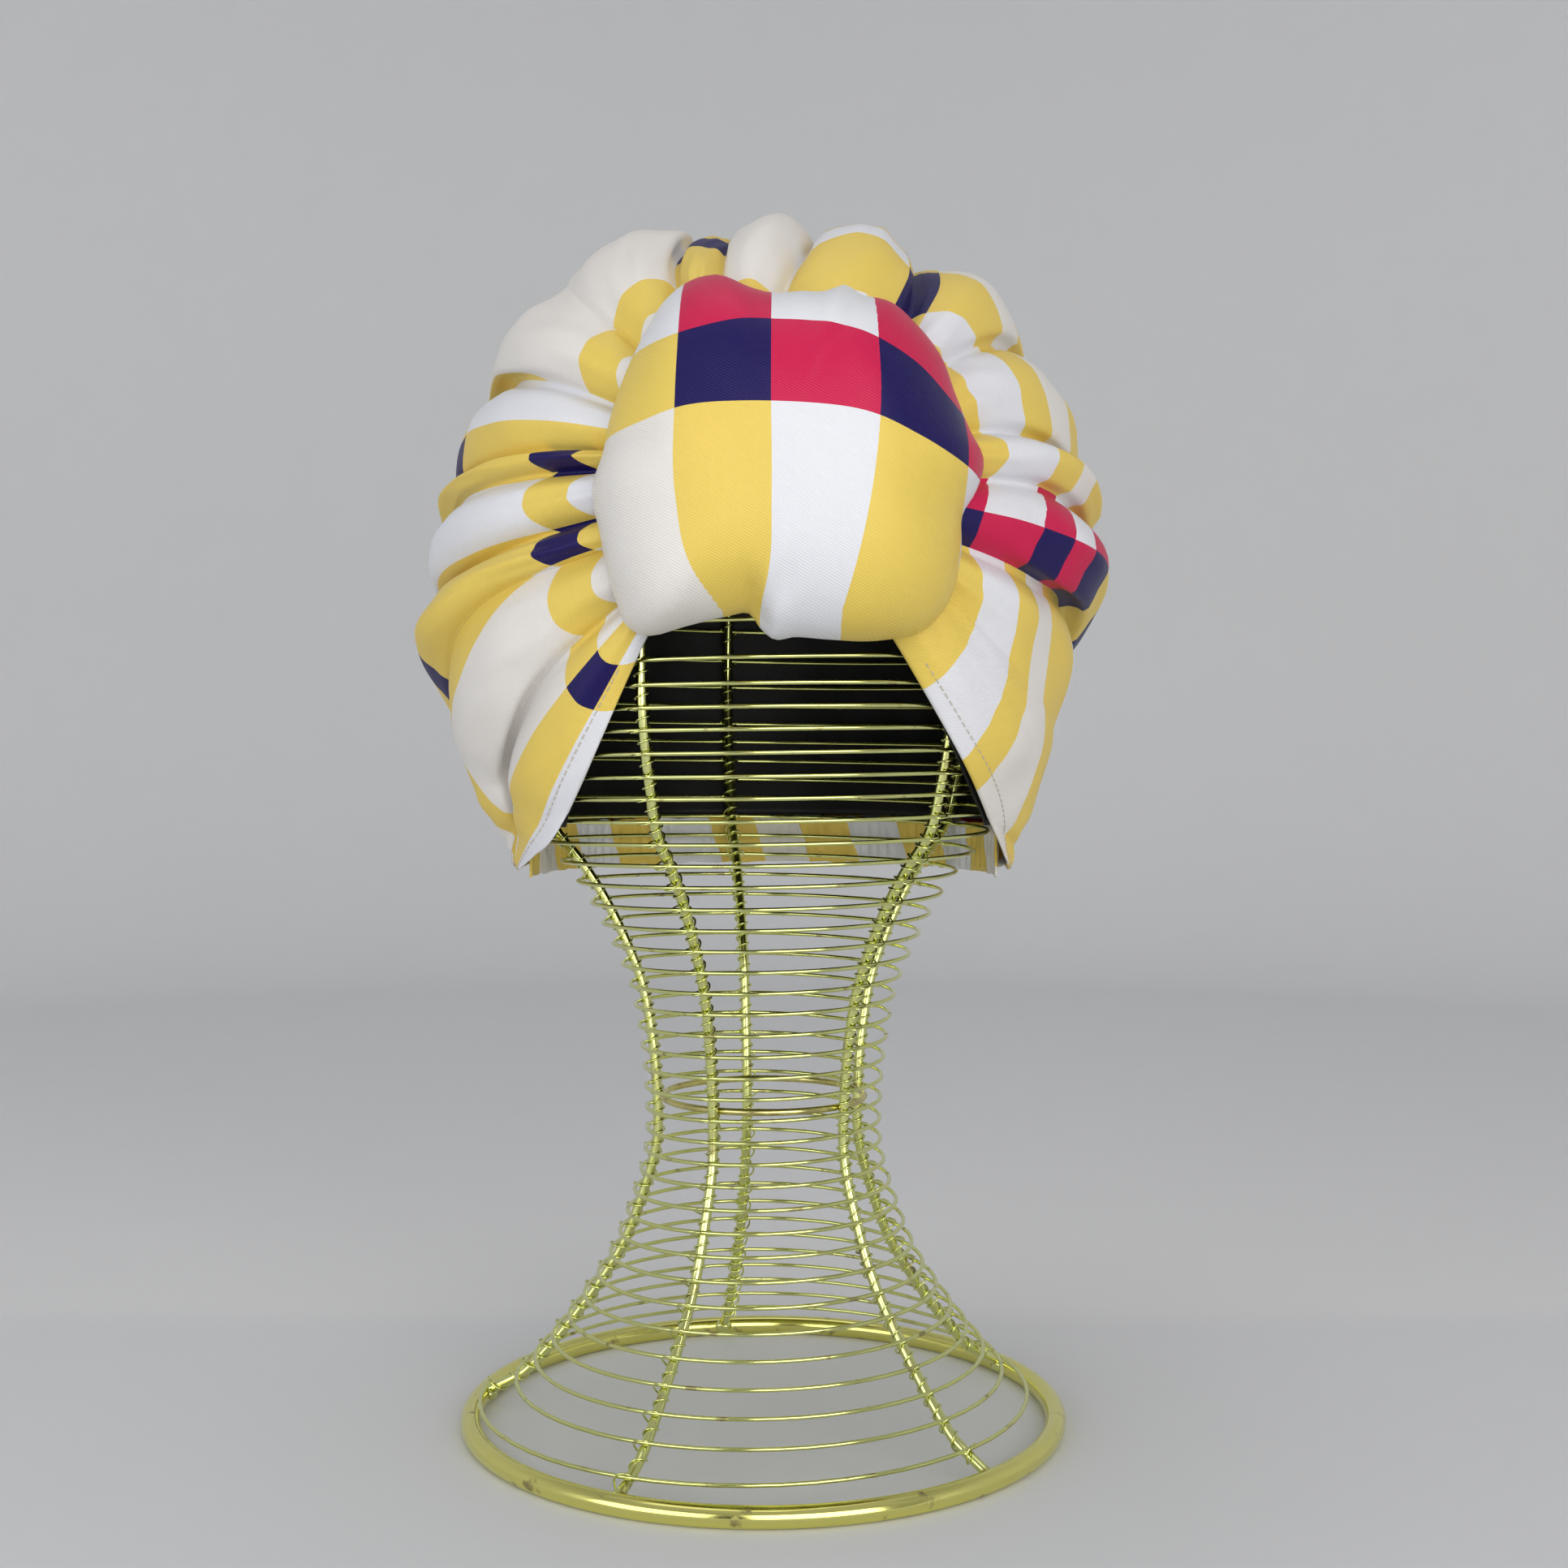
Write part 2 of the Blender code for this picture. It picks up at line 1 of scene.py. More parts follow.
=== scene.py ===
import math
import bmesh
import bpy
import numpy as np
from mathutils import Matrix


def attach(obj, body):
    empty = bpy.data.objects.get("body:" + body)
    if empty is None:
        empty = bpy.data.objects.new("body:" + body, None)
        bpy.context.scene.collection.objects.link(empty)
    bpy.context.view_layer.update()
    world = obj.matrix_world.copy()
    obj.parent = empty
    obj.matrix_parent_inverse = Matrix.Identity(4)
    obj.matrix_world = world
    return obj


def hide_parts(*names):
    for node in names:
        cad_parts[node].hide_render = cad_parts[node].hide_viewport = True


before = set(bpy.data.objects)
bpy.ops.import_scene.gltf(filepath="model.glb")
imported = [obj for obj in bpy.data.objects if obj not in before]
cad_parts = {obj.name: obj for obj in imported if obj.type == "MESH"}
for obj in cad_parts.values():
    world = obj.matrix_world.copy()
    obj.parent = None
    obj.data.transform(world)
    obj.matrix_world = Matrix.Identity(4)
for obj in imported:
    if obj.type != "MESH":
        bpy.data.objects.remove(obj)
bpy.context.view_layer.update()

mm = 0.001

stand = dict(  # the wire stand, metres and degrees
    height=0.318, baseRadius=0.087, baseWire=0.006, ribWire=0.003, coilWire=0.0012,
    neckRadius=0.0326, domeRadius=0.0736, neckRingHeight=0.097, neckRingWire=0.002,
    hubRadius=0.008, hubWire=0.0024, ribCount=5, firstRib=-26.0, coilPitch=0.00615, capPitch=0.010,
    coilStart=0.0075, wireGap=0.0004, widestShare=0.703, tieWire=0.0006, tieTurns=2,
    tieLoop=0.0013, bead=(0.0030, 0.0024, 0.0022))
skirtOutline = [
    (0.016, 0.947), (0.031, 0.776), (0.051, 0.656), (0.083, 0.496),
    (0.117, 0.347), (0.157, 0.200), (0.203, 0.092), (0.261, 0.0)]
domeOutline = [
    (0.308, 0.0), (0.369, 0.049), (0.414, 0.124), (0.453, 0.249), (0.490, 0.398),
    (0.528, 0.598), (0.550, 0.744), (0.600, 0.880), (0.661, 0.976), (0.703, 1.0)]
wrap = dict(  # the headwrap, metres
    halfWidth=0.098, front=0.090, back=0.105, rise=0.094, nape=0.133, lift=0.038, centreY=0.003,
    napeDrop=0.097, bandHeight=0.015, bandWall=0.002, bandReach=100.0, liningWall=0.001,
    liningGap=0.0008, clothWall=0.0015, clothGap=0.0003, facetGap=0.0007, knotShare=0.86)
wrapCentre = np.array([0.0, wrap["centreY"], stand["height"] + wrap["lift"] - wrap["rise"]])
seamHeight = wrapCentre[2] - wrap["napeDrop"]
bandTop = seamHeight - 0.002 + wrap["bandHeight"]


# small helpers
def unit(v):
    return v / np.linalg.norm(v, axis=-1, keepdims=True)


def ease(x, low, high):
    u = np.clip((np.asarray(x, float) - low) / (high - low), 0.0, 1.0)
    return u * u * (3 - 2 * u)


def smoothTable(x, xs, ys):  # even slopes through a table
    xs, ys, x = np.asarray(xs, float), np.asarray(ys, float), np.asarray(x, float)
    slopes = np.gradient(ys, xs)
    i = np.clip(np.searchsorted(xs, x) - 1, 0, len(xs) - 2)
    w = xs[i + 1] - xs[i]
    u = np.clip((x - xs[i]) / w, 0.0, 1.0)
    return ((1 + 2 * u) * (1 - u) ** 2 * ys[i] + u * (1 - u) ** 2 * w * slopes[i]
            + u * u * (3 - 2 * u) * ys[i + 1] + u * u * (u - 1) * w * slopes[i + 1])


def around(turn, radius, z):  # degrees from the front towards +X
    a = np.radians(turn)
    return np.stack(np.broadcast_arrays(radius * np.sin(a), -radius * np.cos(a), z), axis=-1)


def ripple(u, v, seed, waves=7, low=0.6, high=1.8):  # smooth unrest, about -1 to 1
    rng = np.random.default_rng(seed)
    total = 0.0
    for _ in range(waves):
        a, k, p = rng.uniform(0, 2 * np.pi), rng.uniform(low, high), rng.uniform(0, 2 * np.pi)
        total = total + np.sin(2 * np.pi * k * (u * np.cos(a) + v * np.sin(a)) + p)
    return total / math.sqrt(waves) / 1.2


# the stand's outline
def ribProfile():
    n, b, d, h = stand["neckRadius"], stand["baseRadius"], stand["domeRadius"], stand["height"]
    rows = [(z, n + f * (b - n)) for z, f in skirtOutline] + [(z, n + f * (d - n)) for z, f in domeOutline]
    heights, radii = [z * h for z, _ in rows], [r for _, r in rows]
    z = np.linspace(heights[0], heights[-1], 400)
    lower = np.column_stack([smoothTable(z, heights, radii), z])
    last = math.acos((stand["hubRadius"] + stand["hubWire"] / 2 + stand["wireGap"]) / d)
    a = np.linspace(0.0, last, 160)[1:]
    upper = np.column_stack([d * np.cos(a), heights[-1] + (h - heights[-1]) * np.sin(a)])
    return np.vstack([lower, upper])


def offsetLine(line, offset):
    slope = unit(np.gradient(line, axis=0))
    return line + offset * np.column_stack([slope[:, 1], -slope[:, 0]])


profile = ribProfile()
coilOffset = stand["ribWire"] / 2 + stand["wireGap"] + stand["coilWire"] / 2
coilLine = offsetLine(profile, coilOffset)
liningInside = offsetLine(profile, coilOffset + stand["coilWire"] / 2 + wrap["liningGap"])
liningOutside = offsetLine(profile, coilOffset + stand["coilWire"] / 2 + wrap["liningGap"] + wrap["liningWall"])
domeFoot = int(np.searchsorted(profile[:, 1], stand["height"] * 0.33))
ribTurns = [stand["firstRib"] + 360.0 * i / stand["ribCount"] for i in range(stand["ribCount"])]
leftRib = stand["firstRib"] - 360.0 / stand["ribCount"]  # where the coil starts


def domeRadiusAt(line, z):
    r = np.interp(z, line[domeFoot:, 1], line[domeFoot:, 0])
    return np.where(z >= line[-1, 1], 0.0, r)


bandInner = float(domeRadiusAt(liningInside, bandTop))
bandOuter = bandInner + wrap["bandWall"]


def underRadius(z):
    r = domeRadiusAt(liningOutside, z)
    return np.where(z > bandTop + wrap["facetGap"], r, np.maximum(r, bandOuter))


# materials: shared effects are groups, the shaders stay in the materials
def newGroup(kind, name, inputs, outputs):
    tree = bpy.data.node_groups.new(name, kind)
    for label, socketKind, value in inputs:
        socket = tree.interface.new_socket(label, in_out="INPUT", socket_type="NodeSocket" + socketKind)
        if value is not None:
            socket.default_value = value
    for label, socketKind in outputs:
        tree.interface.new_socket(label, in_out="OUTPUT", socket_type="NodeSocket" + socketKind)
    return tree, tree.nodes.new("NodeGroupInput"), tree.nodes.new("NodeGroupOutput")


def feed(tree, node, links):  # links or sets a node's sockets
    for socket, value in links:
        if isinstance(value, bpy.types.NodeSocket):
            tree.links.new(value, node.inputs[socket])
        else:
            node.inputs[socket].default_value = value
    return node


def put(tree, kind, links=(), **values):  # a node with its sockets linked or set
    node = tree.nodes.new(kind)
    for key, value in values.items():
        setattr(node, key, value)
    return feed(tree, node, links)


def math2(tree, operation, a, b=0.0, c=0.0):
    return put(tree, "ShaderNodeMath", [(0, a), (1, b), (2, c)], operation=operation).outputs[0]


def blendColour(tree, factor, a, b, way="MIX"):
    return put(tree, "ShaderNodeMix", [(0, factor), (6, a), (7, b)], data_type="RGBA", blend_type=way).outputs[2]


def twillGroup():  # diagonal ribs of the twill with a faint cross thread, in mm; the second output runs from 0 in a groove to 1 on a rib top, and sets where shade is painted in the grooves
    tree, ins, outs = newGroup("ShaderNodeTree", "twillWeave", [
        ("Place", "Vector", None), ("Pitch", "Float", 0.66), ("Slant", "Float", 0.5)],
        [("Height", "Float"), ("RibTop", "Float")])
    place, slant = ins.outputs["Place"], ins.outputs["Slant"]
    part = put(tree, "ShaderNodeSeparateXYZ", [(0, place)])
    u, v = part.outputs[0], part.outputs[1]
    wobble = put(tree, "ShaderNodeTexNoise", [("Vector", place), ("Scale", 0.35), ("Detail", 2.0)])
    bent = math2(tree, "MULTIPLY", wobble.outputs[0], 0.5)
    across = math2(
        tree, "ADD", math2(tree, "MULTIPLY_ADD", u, math2(tree, "SINE", slant), bent),
        math2(tree, "MULTIPLY", v, math2(tree, "COSINE", slant)))
    phase = math2(tree, "MULTIPLY", math2(tree, "DIVIDE", across, ins.outputs["Pitch"]), 2 * math.pi)
    rib = math2(tree, "SINE", phase)
    thread = math2(tree, "SINE", math2(tree, "MULTIPLY", u, 2 * math.pi / 0.42))
    height = math2(tree, "ADD", math2(tree, "MULTIPLY", rib, 0.5), math2(tree, "MULTIPLY", thread, 0.12))
    feed(tree, outs, [("Height", height), ("RibTop", math2(tree, "MULTIPLY_ADD", rib, 0.5, 0.5))])
    return tree


def wearGroup():  # slow changes of tone, used by cloth and metal
    tree, ins, outs = newGroup(
        "ShaderNodeTree", "wearMask", [("Scale", "Float", 40.0), ("Cut", "Float", 0.5)],
        [("Mask", "Float"), ("Fine", "Float")])
    place = put(tree, "ShaderNodeTexCoord").outputs["Object"]
    slow = put(tree, "ShaderNodeTexNoise", [("Vector", place), ("Scale", ins.outputs["Scale"]), ("Detail", 4.0)])
    fine = put(tree, "ShaderNodeTexNoise", [("Vector", place), ("Scale", 900.0), ("Detail", 3.0)])
    span = put(tree, "ShaderNodeMapRange", [
        ("Value", slow.outputs[0]), ("From Min", ins.outputs["Cut"]), ("From Max", 0.72)])
    feed(tree, outs, [("Mask", span.outputs[0]), ("Fine", fine.outputs[0])])
    return tree


inks = dict(  # the cloth's colours, linear
    y=(0.790, 0.585, 0.118, 1), c=(0.775, 0.742, 0.700, 1), w=(0.755, 0.760, 0.800, 1),
    n=(0.009, 0.004, 0.084, 1), r=(0.580, 0.010, 0.072, 1))
chart = dict(period=400.0, rows=[  # long rows of stripes with short rows of squares between them
    (0.0, "cywywy"), (75.0, "ynynyn"), (90.0, "cywywy"), (169.0, "ynynyn"), (184.0, "cywywy"),
    (259.0, "ynrnrn"), (281.0, "wrwrwr"), (303.0, "ynrnrn"), (325.0, "cywywy")])
# the first entry darkens the colour in the twill's grooves, a painted shade; the second adds random patches of
# tone
clothLook = dict(
    grooveShadeAmount=0.08, patchShade=0.04, shade=(0.30, 0.26, 0.22, 1), rough=0.48, specular=0.25,
    sheen=0.02, sheenRough=0.35, ribBump=0.00009, patchBump=0.0006)
goldLook = dict(
    base=(0.71, 0.735, 0.29, 1), ring=(0.80, 0.765, 0.235, 1), neck=(0.72, 0.64, 0.27, 1),
    worn=(0.38, 0.33, 0.14, 1), rough=0.11)
satinLook = dict(dark=(0.006, 0.006, 0.007, 1), light=(0.012, 0.012, 0.014, 1), specular=0.30)
threadLook = dict(light=(0.62, 0.56, 0.46, 1), dark=(0.434, 0.392, 0.322, 1), rough=0.55)


twill, wear = twillGroup(), wearGroup()


def newMaterial(name):
    material = bpy.data.materials.new(name)
    material.use_nodes = True
    return material, material.node_tree, material.node_tree.nodes["Principled BSDF"]


def agedGroup(tree, scale=40.0, cut=0.5):
    node = put(tree, "ShaderNodeGroup", [("Scale", scale), ("Cut", cut)], node_tree=wear)
    return node.outputs["Mask"], node.outputs["Fine"]


def chartGroup():  # the check: columns along U, rows along V in mm
    tree, ins, outs = newGroup("ShaderNodeTree", "checkPrint", [("Place", "Vector", None)], [("Colour", "Color")])
    part = put(tree, "ShaderNodeSeparateXYZ", [(0, ins.outputs["Place"])])
    column = math2(tree, "DIVIDE", math2(tree, "WRAP", part.outputs[0], 6.0, 0.0), 6.0)
    row = math2(tree, "WRAP", part.outputs[1], chart["period"], 0.0)
    colour = None
    for start, inksAcross in chart["rows"]:
        ramp = inkRamp(tree, column, inksAcross)
        above = math2(tree, "GREATER_THAN", row, start)
        colour = ramp if colour is None else blendColour(tree, above, colour, ramp)
    feed(tree, outs, [("Colour", colour)])
    return tree


def inkRamp(tree, place, letters):  # one ink for each column, with crisp edges
    node = put(tree, "ShaderNodeValToRGB", [(0, place)])
    ramp = node.color_ramp
    ramp.interpolation = "CONSTANT"
    while len(ramp.elements) < len(letters):
        ramp.elements.new(0.99)
    for number, letter in enumerate(letters):
        ramp.elements[number].position = number / len(letters)
    for number, letter in enumerate(letters):
        ramp.elements[number].color = inks[letter]
    return node.outputs[0]


def clothMaterial(name, slant):
    material, tree, shader = newMaterial(name)
    printed = put(tree, "ShaderNodeUVMap", uv_map="print").outputs[0]
    woven = put(tree, "ShaderNodeUVMap", uv_map="weave").outputs[0]
    check = put(tree, "ShaderNodeGroup", [("Place", printed)], node_tree=checkPrint)
    weave = put(tree, "ShaderNodeGroup", [("Place", woven), ("Slant", slant)], node_tree=twill)
    mask, _ = agedGroup(tree, 28.0, 0.35)
    thread = weave.outputs["RibTop"]
    # painted shade: the colour is darker in the grooves between the twill's ribs, and random patches of tone
    # darken it further
    paintedGroove = math2(tree, "MULTIPLY", math2(tree, "SUBTRACT", 1.0, thread), clothLook["grooveShadeAmount"])
    paintedShadeAndTone = math2(tree, "MULTIPLY_ADD", mask, clothLook["patchShade"], paintedGroove)
    bump = put(tree, "ShaderNodeBump", [
        ("Height", weave.outputs["Height"]), ("Strength", 0.55), ("Distance", clothLook["ribBump"])])
    soft = put(tree, "ShaderNodeBump", [
        ("Height", mask), ("Strength", 0.25), ("Distance", clothLook["patchBump"]), ("Normal", bump.outputs[0])])
    feed(tree, shader, [
        ("Base Color", blendColour(tree, paintedShadeAndTone, check.outputs["Colour"], clothLook["shade"], "MULTIPLY")),
        ("Roughness", math2(tree, "MULTIPLY_ADD", thread, -0.10, clothLook["rough"])),
        ("Specular IOR Level", clothLook["specular"]), ("Sheen Weight", clothLook["sheen"]),
        ("Sheen Roughness", clothLook["sheenRough"]), ("Normal", soft.outputs[0])])
    return material


def goldMaterial(name, base, wornFrom):
    material, tree, shader = newMaterial(name)
    mask, fine = agedGroup(tree, 160.0, wornFrom)
    rough = math2(tree, "MULTIPLY_ADD", mask, 0.25, goldLook["rough"])
    bump = put(tree, "ShaderNodeBump", [("Height", fine), ("Strength", 0.12), ("Distance", 0.00004)])
    feed(tree, shader, [
        ("Base Color", blendColour(tree, mask, goldLook[base], goldLook["worn"])), ("Metallic", 1.0),
        ("Roughness", math2(tree, "MULTIPLY_ADD", fine, 0.06, rough)), ("Normal", bump.outputs[0])])
    return material


def blackMaterial():
    material, tree, shader = newMaterial("blackSatin")
    mask, fine = agedGroup(tree, 60.0)
    bump = put(tree, "ShaderNodeBump", [("Height", fine), ("Strength", 0.2), ("Distance", 0.00008)])
    feed(tree, shader, [
        ("Base Color", blendColour(tree, mask, satinLook["dark"], satinLook["light"])),
        ("Roughness", math2(tree, "MULTIPLY_ADD", fine, 0.2, 0.42)),
        ("Specular IOR Level", satinLook["specular"]), ("Normal", bump.outputs[0])])
    return material


def threadMaterial():
    material, tree, shader = newMaterial("creamThread")
    _, fine = agedGroup(tree)
    feed(tree, shader, [
        ("Base Color", blendColour(tree, fine, threadLook["light"], threadLook["dark"])),
        ("Roughness", threadLook["rough"])])
    return material


checkPrint = chartGroup()
gold = goldMaterial("goldWire", "base", 0.62)
goldRing = goldMaterial("goldBaseRing", "ring", 0.64)
goldNeck = goldMaterial("goldNeckRing", "neck", 0.42)
satin, thread = blackMaterial(), threadMaterial()
print("materials made")


# meshes
def addMesh(name, points, faces, material=None, edges=()):
    mesh = bpy.data.meshes.new(name)
    mesh.from_pydata(np.asarray(points, float).reshape(-1, 3).tolist(), edges, faces)
    mesh.polygons.foreach_set("use_smooth", [True] * len(mesh.polygons))
    obj = bpy.data.objects.new(name, mesh)
    bpy.context.collection.objects.link(obj)
    if material:
        mesh.materials.append(material)
    return obj


def gridFaces(columns, rows, closed=False):
    span = columns if closed else columns - 1
    return [[i * rows + k, (i + 1) % columns * rows + k, (i + 1) % columns * rows + k + 1, i * rows + k + 1]
            for i in range(span) for k in range(rows - 1)]


def addSheet(name, points, faces, material, centre, thickness, printUv=None, weaveUv=None):
    obj = addMesh(name, points, faces, material)
    for label, values in (("print", printUv), ("weave", weaveUv)):  # one (u, v) for each face corner
        if values is not None:
            layer = obj.data.uv_layers.new(name=label)
            layer.data.foreach_set("uv", np.asarray(values, np.float32).ravel())
    faceOutward(obj, centre)
    solid = obj.modifiers.new("thickness", "SOLIDIFY")
    solid.thickness, solid.offset = thickness, -1.0
    return settle(obj)


def faceOutward(obj, centre):  # an open sheet faces away from the centre
    polygons = obj.data.polygons
    normals, middles = np.zeros(len(polygons) * 3), np.zeros(len(polygons) * 3)
    polygons.foreach_get("normal", normals)
    polygons.foreach_get("center", middles)
    if np.median(((middles.reshape(-1, 3) - centre) * normals.reshape(-1, 3)).sum(axis=1)) < 0:
        obj.data.flip_normals()


def settle(obj):  # modifiers become plain mesh
    bpy.context.view_layer.update()
    graph = bpy.context.evaluated_depsgraph_get()
    made = bpy.data.meshes.new_from_object(
        obj.evaluated_get(graph), preserve_all_data_layers=True, depsgraph=graph)
    made.name = obj.name
    obj.modifiers.clear()
    obj.data = made
    return obj


# geometry node trees for what repeats or follows a path
def newTree(name, inputs=()):
    wire = [("Geometry", "Geometry", None), ("Radius", "Float", 0.001), ("Sides", "Int", 12),
            ("Material", "Material", None)]
    return newGroup("GeometryNodeTree", name, wire + list(inputs), [("Geometry", "Geometry")])


def closeTree(tree, ins, outs, geometry):
    smooth = put(tree, "GeometryNodeSetShadeSmooth", [("Geometry", geometry)])
    real = put(tree, "GeometryNodeRealizeInstances", [("Geometry", smooth.outputs[0])])
    paint = put(tree, "GeometryNodeSetMaterial", [
        ("Geometry", real.outputs[0]), ("Material", ins.outputs["Material"])])
    tree.links.new(paint.outputs[0], outs.inputs[0])
    return tree


def tubeAlong(tree, ins, curve):
    circle = put(tree, "GeometryNodeCurvePrimitiveCircle", [
        ("Resolution", ins.outputs["Sides"]), ("Radius", ins.outputs["Radius"])])
    return put(tree, "GeometryNodeCurveToMesh", [
        ("Curve", curve), ("Profile Curve", circle.outputs[0]), ("Fill Caps", True)]).outputs[0]


def closeWire(tree, ins, outs, path):  # a wire along the path's edges
    curve = put(tree, "GeometryNodeMeshToCurve", [(0, path)])
    return closeTree(tree, ins, outs, tubeAlong(tree, ins, curve.outputs[0]))


def drawTree():
    tree, ins, outs = newTree("drawnWire")
    return closeWire(tree, ins, outs, ins.outputs["Geometry"])


def coilTree():  # the outline's points are turned about Z by their number, which winds the coil
    tree, ins, outs = newTree("woundCoil", [("Step", "Float", 0.1), ("Start", "Float", 0.0)])
    number, place = put(tree, "GeometryNodeInputIndex"), put(tree, "GeometryNodeInputPosition")
    angle = math2(tree, "MULTIPLY_ADD", number.outputs[0], ins.outputs["Step"], ins.outputs["Start"])
    turned = put(tree, "ShaderNodeVectorRotate", [("Vector", place.outputs[0]), ("Angle", angle)],
                 rotation_type="Z_AXIS")
    moved = put(tree, "GeometryNodeSetPosition", [
        ("Geometry", ins.outputs["Geometry"]), ("Position", turned.outputs[0])])
    return closeWire(tree, ins, outs, moved.outputs[0])


def bindTree():  # winds round a rib: the path's points carry their phase, both side directions and the reach
    tree, ins, outs = newTree("boundWire")
    kinds = dict(phase="FLOAT", outward="FLOAT_VECTOR", sideways="FLOAT_VECTOR", reach="FLOAT")
    parts = {label: put(tree, "GeometryNodeInputNamedAttribute", [("Name", label)], data_type=kind).outputs[0]
             for label, kind in kinds.items()}
    sides = []
    for label, wave in (("outward", "COSINE"), ("sideways", "SINE")):
        size = math2(tree, "MULTIPLY", math2(tree, wave, parts["phase"]), parts["reach"])
        sides.append(put(tree, "ShaderNodeVectorMath", [(0, parts[label]), ("Scale", size)], operation="SCALE"))
    both = put(tree, "ShaderNodeVectorMath", [(i, side.outputs[0]) for i, side in enumerate(sides)],
               operation="ADD")
    moved = put(tree, "GeometryNodeSetPosition", [
        ("Geometry", ins.outputs["Geometry"]), ("Offset", both.outputs[0])])
    return closeWire(tree, ins, outs, moved.outputs[0])


def stitchTree():  # short stitches at even steps along the path
    tree, ins, outs = newTree("stitchRow", [("Step", "Float", 0.0024), ("Length", "Float", 0.0016)])
    curve = put(tree, "GeometryNodeMeshToCurve", [(0, ins.outputs["Geometry"])])
    spots = put(tree, "GeometryNodeCurveToPoints", [("Curve", curve.outputs[0]), ("Length", ins.outputs["Step"])],
                mode="LENGTH")
    line = put(tree, "GeometryNodeCurvePrimitiveLine", [
        ("Direction", (0, 0, 1)), ("Length", ins.outputs["Length"])], mode="DIRECTION")
    placed = put(tree, "GeometryNodeInstanceOnPoints", [
        ("Points", spots.outputs[0]), ("Instance", tubeAlong(tree, ins, line.outputs[0])),
        ("Rotation", spots.outputs["Rotation"])])
    return closeTree(tree, ins, outs, placed.outputs[0])


def runTree(obj, tree, **values):
    modifier = obj.modifiers.new(tree.name, "NODES")
    modifier.node_group = tree
    for item in tree.interface.items_tree:
        if item.item_type == "SOCKET" and item.in_out == "INPUT" and item.name in values:
            modifier[item.identifier] = values[item.name]
    return settle(obj)


def addPath(name, points, closed=False, **attributes):
    count = len(points)
    obj = addMesh(name, points, [], edges=[(i, (i + 1) % count) for i in range(count if closed else count - 1)])
    for label, values in attributes.items():
        kind, key = ("FLOAT_VECTOR", "vector") if np.ndim(values) > 1 else ("FLOAT", "value")
        layer = obj.data.attributes.new(label, kind, "POINT")
        layer.data.foreach_set(key, np.asarray(values, np.float32).ravel())
    return obj


def finishPiece(obj, slotName, *nodes):
    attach(obj, "root")
    if nodes:
        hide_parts(*nodes)
    heights = [v.co.z for v in obj.data.vertices]
    print(obj.name, len(obj.data.polygons), "faces, from", round(min(heights), 4), "to", round(max(heights), 4))
    return obj


drawn, wound, bound, stitched = drawTree(), coilTree(), bindTree(), stitchTree()


# the wire stand
def addWire(name, points, radius, sides, material, *nodes, closed=False):
    wire = runTree(addPath(name, points, closed), drawn, Radius=radius, Sides=sides, Material=material)
    return finishPiece(wire, "gold_wire", *nodes)


def buildStand():
    h = stand["baseWire"] / 2
    turns = np.linspace(0, 360, 240, endpoint=False)
    addWire("baseRing", around(turns + stand["firstRib"], stand["baseRadius"], h), h, 24, goldRing,
            "base_ring", closed=True)
    foot = np.array([stand["baseRadius"], h])
    start = foot + unit(profile[0] - foot) * (h - 0.0008)  # just into the ring
    line = np.vstack([start, profile[6::4], profile[-1]])
    for i, turn in enumerate(ribTurns):
        addWire(f"rib{i + 1}", around(turn, line[:, 0], line[:, 1]), stand["ribWire"] / 2, 14, gold,
                f"rib_{i + 1}")
        finishPiece(weldBead(turn, start), "gold_wire")
    r = stand["neckRadius"] - stand["ribWire"] / 2 - stand["neckRingWire"] / 2
    addWire("neckRing", around(turns[::2], r, stand["neckRingHeight"]), stand["neckRingWire"] / 2, 14, goldNeck,
            "neck_ring", closed=True)
    addWire("topHub", around(turns[::2], stand["hubRadius"], profile[-1, 1]), stand["hubWire"] / 2, 12, gold,
            "top_hub", closed=True)


def weldBead(turn, start):  # the solder where a rib meets the base ring
    a, b = np.meshgrid(np.linspace(0, 2 * np.pi, 24, endpoint=False), np.linspace(0, np.pi, 13), indexing="ij")
    ball = np.stack([np.cos(a) * np.sin(b), np.sin(a) * np.sin(b), np.cos(b)], axis=-1)
    number = int(turn) + 90
    lump = 1 + 0.10 * ripple(ball[..., 0], ball[..., 1] + ball[..., 2], number)[..., None]
    t = math.radians(turn)
    sides = np.array([[math.cos(t), math.sin(t), 0], [math.sin(t), -math.cos(t), 0], [0, 0, 1]])
    points = around(turn, start[0] - 0.0003, start[1] - 0.0008) + (ball * np.array(stand["bead"]) * lump) @ sides
    return weldPoles(addMesh(f"weldBead{number}", points, [face[::-1] for face in gridFaces(24, 13, True)], gold))


def weldPoles(obj):  # one point at each pole, faces outward
    work = bmesh.new()
    work.from_mesh(obj.data)
    bmesh.ops.remove_doubles(work, verts=work.verts, dist=1e-6)
    bmesh.ops.recalc_face_normals(work, faces=work.faces)
    work.to_mesh(obj.data)
    work.free()
    return obj


def coilPlaces():  # radius and height of the coil, counted in turns
    steps = np.diff(coilLine, axis=0)
    below = coilLine[1:, 1] <= stand["widestShare"] * stand["height"]
    turns = np.where(below, steps[:, 1] / stand["coilPitch"], np.hypot(*steps.T) / stand["capPitch"])
    turns = np.concatenate([[0.0], np.cumsum(turns)])
    return turns, float(np.interp(stand["coilStart"], coilLine[:, 1], turns))


